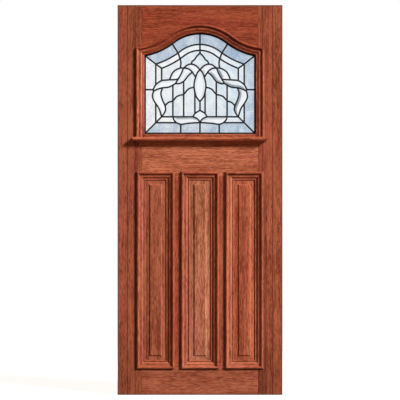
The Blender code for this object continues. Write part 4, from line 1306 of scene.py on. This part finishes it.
def make_cames(glass):
    """The soldered net of cames and the flat came round it."""
    spots, edges, joints = lead_plan()[:3]
    finish = lead("dull_lead", glass)
    plan = bpy.data.meshes.new("lead_plan")
    plan.from_pydata([(spot.x, spot.y, 0) for spot in spots], edges, [])
    marks = plan.attributes.new("joint", "BOOLEAN", "POINT")
    marks.data.foreach_set("value", [i in joints for i in range(len(spots))])
    net = new_object("lead_came_net", plan)
    worked = net.modifiers.new("lead_came_net", "NODES")
    worked.node_group, keys = came_tree()
    given = {
        "Came width": glass.came_width,
        "Came height": glass.came_height,
        "Edge rounding": glass.came_width * CAME_ROUNDING,
        "Solder size": (glass.solder_radius, glass.solder_radius, PACKED_CAME_HEIGHT / 2),
        "Solder seed": glass.seed,
        "Finish": finish,
    }
    for label, value in given.items():
        worked[keys[label]] = value
    depsgraph = bpy.context.evaluated_depsgraph_get()
    mesh = bpy.data.meshes.new_from_object(net.evaluated_get(depsgraph), depsgraph=depsgraph)
    net.modifiers.clear()
    net.data = mesh
    lie_down = Matrix(((1, 0, 0, MIDDLE_X), (0, 0, -1, LIGHT_Y), (0, 1, 0, FOOT_Z), (0, 0, 0, 1)))
    mesh.transform(lie_down)
    declare(net, "leaded_light")
    border = smooth(loft("lead_border_came", border_rings(glass), closed=True))
    piece("lead_border_came", border, finish, "leaded_light")


def light_outline(inset_by):
    """A closed line this far inside the sight line of the light."""
    half_width = SIGHT_HALF_WIDTH - inset_by
    stations_across = 60
    arch = []
    for i in range(-stations_across, stations_across + 1):
        x = half_width * i / stations_across
        arch.append(Vector((x, arch_height(inset_by, x))))
    foot = SIGHT_BOTTOM + inset_by
    return [*arch[::-1], Vector((-half_width, foot)), Vector((half_width, foot))]


def border_rings(glass):
    """Rings round the section of the flat came that lies behind the mouldings, with a rounded inner lip."""
    half = glass.came_height / 2
    lip = 0.0014
    section = [
        (-LIGHT_EDGE_COVER, half),
        *arc((FRAME_CAME_SHOWING - lip, half - lip), lip, 90, 0, 4),
        *arc((FRAME_CAME_SHOWING - lip, lip - half), lip, 0, -90, 4),
        (-LIGHT_EDGE_COVER, -half),
    ]
    return [upright(light_outline(inset_by), y) for inset_by, y in section]


def inset_of(spot):
    """How far a point lies inside the sight line of the light."""
    return min(
        SIGHT_HALF_WIDTH - abs(spot.x),
        spot.y - SIGHT_BOTTOM,
        arch_height(0, min(abs(spot.x), SIGHT_HALF_WIDTH)) - spot.y,
    )


def glass_kind(cell):
    """Which border a flat piece is in, or the field, from the outermost came it touches."""
    outermost = min(inset_of(spot) for spot in cell)
    if outermost < OUTER_BORDER / 2:
        middle = sum(cell, Vector((0, 0))) / len(cell)
        if middle.y < SIGHT_BOTTOM + OUTER_BORDER:
            return "outer_border_bottom"
        if middle.y > arch_height(FIELD_INSET, middle.x):
            return "outer_border_top"
        return "outer_border_left" if middle.x < 0 else "outer_border_right"
    if outermost < OUTER_BORDER + INNER_BORDER / 2:
        return "inner_border"
    return "field"


def make_flat_glass(glass):
    """The flat pieces, each cut to its own space between the cames, with a tint and a cloud tint by place;
    the outer border's side-to-side differences are painted reflection.
    """
    cells = lead_plan()[3]
    clear = list(bevelled_cells(cells).values())
    border = Vector(glass.border_colour)
    field = Vector(glass.field_colour)
    # The glass's own tints, with painted reflection in how the outer border's top, left, right and bottom
    # differ
    tints_with_painted_reflection = {
        "outer_border_top": (border, border.lerp(WHITE_GLASS, 0.44)),
        "outer_border_left": (border.lerp(WHITE_GLASS, 0.70), WHITE_GLASS),
        "outer_border_right": (border.lerp(WHITE_GLASS, 0.15), border.lerp(WHITE_GLASS, 0.66)),
        "outer_border_bottom": (border.lerp(WHITE_GLASS, 0.05), border.lerp(WHITE_GLASS, 0.50)),
        "inner_border": (field.lerp(WHITE_GLASS, 0.60), WHITE_GLASS),
        "field": (field, WHITE_GLASS.lerp(field, 0.15)),
    }
    finishes = {}
    for kind, (tint, cloud) in tints_with_painted_reflection.items():
        dimple = COARSE_DIMPLE if kind.startswith("outer") else FINE_DIMPLE
        finishes[kind] = textured_glass(f"{kind}_glass", tint, cloud, dimple)
    counts = {}
    half = glass.thickness / 2
    arris = 0.0003
    for cell in cells:
        if cell in clear:
            continue
        kind = glass_kind(cell)
        counts[kind] = counts.get(kind, 0) + 1
        edge, face = inset_rings(cell, CAME_HEART / 2, CAME_HEART / 2 + arris)
        levels = ((face, half), (edge, half - arris), (edge, arris - half), (face, -half))
        rings = [upright(loop, y) for loop, y in levels]
        name = f"{kind}_glass_{counts[kind]:02d}"
        piece(name, loft(name, rings), finishes[kind], "leaded_light")


def clamped(value):
    """A value held between 0 and 1."""
    return min(max(value, 0.0), 1.0)


def mark_painted_bevel_shade(mesh, strength, side):
    """Writes on each point how much painted shade the glass gets there: most on the bevels that lean towards
    one side.
    """
    side = Vector((side[0], 0, side[1])).normalized()
    upper_left = Vector((-0.60, 0, 0.80))
    fully_leaning = 0.20
    plain_shade = 0.28
    broad_on_leaning = 0.5
    broad_shade = 0.55
    broad_curve = 1.3
    reach = [vert.co.dot(side) for vert in mesh.vertices]
    near, far = min(reach), max(reach)
    marks = mesh.attributes.new("bevel_shade", "FLOAT", "POINT")
    held = []
    for vert, place in zip(mesh.vertices, reach):
        plain = plain_shade * clamped(vert.normal.dot(upper_left) / fully_leaning)
        leaning = strength * clamped(vert.normal.dot(side) / fully_leaning)
        broad = broad_shade * strength * ((place - near) / (far - near)) ** broad_curve
        painted_shade = clamped(max(plain, leaning + broad * broad_on_leaning, broad))
        held.append(painted_shade if vert.co.y < LIGHT_Y else 0.0)
    marks.data.foreach_set("value", held)


def make_bevelled_glass(glass):
    """The clear pieces, with a softly rounded bevel all round the front."""
    finish = bevelled_glass_material("clear_bevelled_glass")
    half_edge = glass.bevelled_edge / 2
    for name, cell in bevelled_cells(lead_plan()[3]).items():
        edge, foot = inset_rings(cell, CAME_HEART / 2, glass.came_width / 2)
        spots, heights, faces, rim = bevelled_front(foot, glass)
        shape = bmesh.new()
        front = [
            shape.verts.new(at(spot.x, LIGHT_Y - half_edge - height, spot.y))
            for spot, height in zip(spots, heights)
        ]
        for face in faces:
            shape.faces.new([front[i] for i in face])
        loops = [[shape.verts.new(point) for point in upright(edge, y)] for y in (half_edge, -half_edge)]
        loops.append([front[i] for i in rim])
        shape.faces.new(loops[0])
        join_loops(shape, loops)
        node = f"bevelled_glass_{name}"
        mesh = smooth(closed_mesh(shape, node))
        mark_painted_bevel_shade(mesh, *PAINTED_BEVEL_SHADES.get(name, PLAIN_BEVEL_SHADE))
        piece(f"{node}_polished", mesh, finish, node)


def make_stage(stage):
    """A pale floor that fades into a white surround, a soft key light, a fill and the camera."""
    scene = bpy.context.scene
    world = bpy.data.worlds.new("white_surround")
    scene.world = world
    world.use_nodes = True
    sheet = Sheet(world.node_tree)
    path = sheet.node("ShaderNodeLightPath")
    seen = path.math("MAXIMUM", path.other("Is Camera Ray"), path.other("Is Transmission Ray"))
    towards = sheet.node("ShaderNodeTexCoord", output="Generated")
    overhead = sheet.vector_math("DOT_PRODUCT", towards, FILL_DIRECTION, "Value")
    soft = sheet.between(overhead, *FILL_RANGE, LOW_FILL, stage.fill_strength)
    behind = sheet.between(sheet.axis(towards, "Y"), *BACK_RANGE, 0.0, BACK_FILL)
    strength = soft + behind + seen * (1 - soft - behind)
    tone = sheet.mix(seen, FILL_TONE, WHITE)
    background = sheet.node("ShaderNodeBackground", {"Color": tone, "Strength": strength})
    sheet.node("ShaderNodeOutputWorld", {"Surface": background})
    scene.view_settings.view_transform = "Standard"
    make_floor(stage)
    key = bpy.data.lights.new("key_light", "SUN")
    key.energy = stage.key_strength
    key.angle = stage.key_softness
    new_object("key_light", key).rotation_euler = KEY_DIRECTION.to_track_quat("Z", "Y").to_euler()
    sensor = 36
    camera = bpy.data.cameras.new("camera")
    camera.lens = stage.lens
    camera.sensor_width = sensor
    camera.clip_end = 100
    shot = new_object("camera", camera)
    distance = stage.picture_width * stage.lens / sensor
    shot.location = at(0, -HALF_THICKNESS - distance, LEAF_HEIGHT / 2)
    shot.rotation_euler = (math.radians(90), 0, 0)
    scene.camera = shot


def make_floor(stage):
    """A round pale floor that fades out before its edge."""
    made, sheet = new_material("pale_floor")
    foot = at(0, 0, 0)
    away = sheet.vector_math("DISTANCE", sheet.place(), foot, "Value")
    fade = sheet.between(away, FLOOR_FADE_START, FLOOR_FADE_END)
    path = sheet.node("ShaderNodeLightPath")
    dim = sheet.node("ShaderNodeBsdfDiffuse", {"Color": DIM_FLOOR})
    lit = sheet.node("ShaderNodeBsdfPrincipled", {
        "Base Color": opaque(stage.floor_colour),
        "Roughness": 0.8,
        "Emission Color": WHITE,
        "Emission Strength": FLOOR_GLOW,
    })
    surface = sheet.node("ShaderNodeMixShader", {0: path.other("Is Camera Ray"), 1: dim, 2: lit})
    clear = sheet.node("ShaderNodeBsdfTransparent")
    mixed = sheet.node("ShaderNodeMixShader", {0: fade, 1: surface, 2: clear})
    sheet.node("ShaderNodeOutputMaterial", {"Surface": mixed})
    shape = bmesh.new()
    bmesh.ops.create_circle(shape, cap_ends=True, radius=FLOOR_RADIUS, segments=96)
    bmesh.ops.translate(shape, vec=foot, verts=shape.verts)
    mesh = bpy.data.meshes.new("pale_floor")
    shape.to_mesh(mesh)
    shape.free()
    mesh.materials.append(made)
    new_object("pale_floor", mesh)


class DOOR_OT_timbers(bpy.types.Operator):
    """Make the stiles, rails and muntins with eased edges"""

    bl_idname = "door.timbers"
    bl_label = "Frame timbers"

    def execute(self, context):
        make_timbers(context.scene.door_timber)
        return {"FINISHED"}


class DOOR_OT_panels(bpy.types.Operator):
    """Make the three raised panels"""

    bl_idname = "door.panels"
    bl_label = "Raised panels"

    def execute(self, context):
        make_panels(context.scene.door_timber)
        return {"FINISHED"}


class DOOR_OT_panel_mouldings(bpy.types.Operator):
    """Make the mitred mouldings and beads round the panels"""

    bl_idname = "door.panel_mouldings"
    bl_label = "Panel mouldings"

    def execute(self, context):
        make_panel_mouldings(context.scene.door_timber)
        return {"FINISHED"}


class DOOR_OT_glazing_mouldings(bpy.types.Operator):
    """Make the mouldings, beads and sill bead round the light"""

    bl_idname = "door.glazing_mouldings"
    bl_label = "Glazing mouldings"

    def execute(self, context):
        make_glazing_mouldings(context.scene.door_timber)
        return {"FINISHED"}


class DOOR_OT_shelf(bpy.types.Operator):
    """Make the shelf moulding under the light"""

    bl_idname = "door.shelf"
    bl_label = "Shelf moulding"

    def execute(self, context):
        make_shelf(context.scene.door_timber)
        return {"FINISHED"}


class DOOR_OT_cames(bpy.types.Operator):
    """Make the soldered lead cames"""

    bl_idname = "door.cames"
    bl_label = "Lead cames"

    def execute(self, context):
        make_cames(context.scene.door_glass)
        return {"FINISHED"}


class DOOR_OT_flat_glass(bpy.types.Operator):
    """Make the flat pieces of textured glass"""

    bl_idname = "door.flat_glass"
    bl_label = "Flat glass"

    def execute(self, context):
        make_flat_glass(context.scene.door_glass)
        return {"FINISHED"}


class DOOR_OT_bevelled_glass(bpy.types.Operator):
    """Make the clear bevelled pieces"""

    bl_idname = "door.bevelled_glass"
    bl_label = "Bevelled glass"

    def execute(self, context):
        make_bevelled_glass(context.scene.door_glass)
        return {"FINISHED"}


class DOOR_OT_stage(bpy.types.Operator):
    """Make the floor, the lights and the camera"""

    bl_idname = "door.stage"
    bl_label = "Studio"

    def execute(self, context):
        make_stage(context.scene.door_stage)
        return {"FINISHED"}


STEPS = (
    DOOR_OT_timbers, DOOR_OT_panels, DOOR_OT_panel_mouldings, DOOR_OT_glazing_mouldings, DOOR_OT_shelf,
    DOOR_OT_cames, DOOR_OT_flat_glass, DOOR_OT_bevelled_glass, DOOR_OT_stage,
)
SETTINGS = {"door_timber": DoorTimber, "door_glass": DoorGlass, "door_stage": DoorStage}


class DOOR_PT_pieces(bpy.types.Panel):
    """Lists the door's settings and the steps that make it"""

    bl_idname = "DOOR_PT_pieces"
    bl_label = "Front door"
    bl_space_type = "VIEW_3D"
    bl_region_type = "UI"
    bl_category = "Door"

    def draw(self, context):
        for name, group in SETTINGS.items():
            box = self.layout.box()
            for setting in group.__annotations__:
                box.prop(getattr(context.scene, name), setting)
        for step in STEPS:
            self.layout.operator(step.bl_idname)


def register():
    for cls in (*SETTINGS.values(), *STEPS, DOOR_PT_pieces):
        bpy.utils.register_class(cls)
    for name, group in SETTINGS.items():
        setattr(bpy.types.Scene, name, PointerProperty(type=group))


def unregister():
    for name in SETTINGS:
        delattr(bpy.types.Scene, name)
    for cls in reversed((*SETTINGS.values(), *STEPS, DOOR_PT_pieces)):
        bpy.utils.unregister_class(cls)


def main():
    register()
    bpy.ops.door.timbers()
    bpy.ops.door.panels()
    bpy.ops.door.panel_mouldings()
    bpy.ops.door.glazing_mouldings()
    bpy.ops.door.shelf()
    bpy.ops.door.cames()
    bpy.ops.door.flat_glass()
    bpy.ops.door.bevelled_glass()
    bpy.ops.door.stage()
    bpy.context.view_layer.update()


if __name__ == "__main__":
    main()
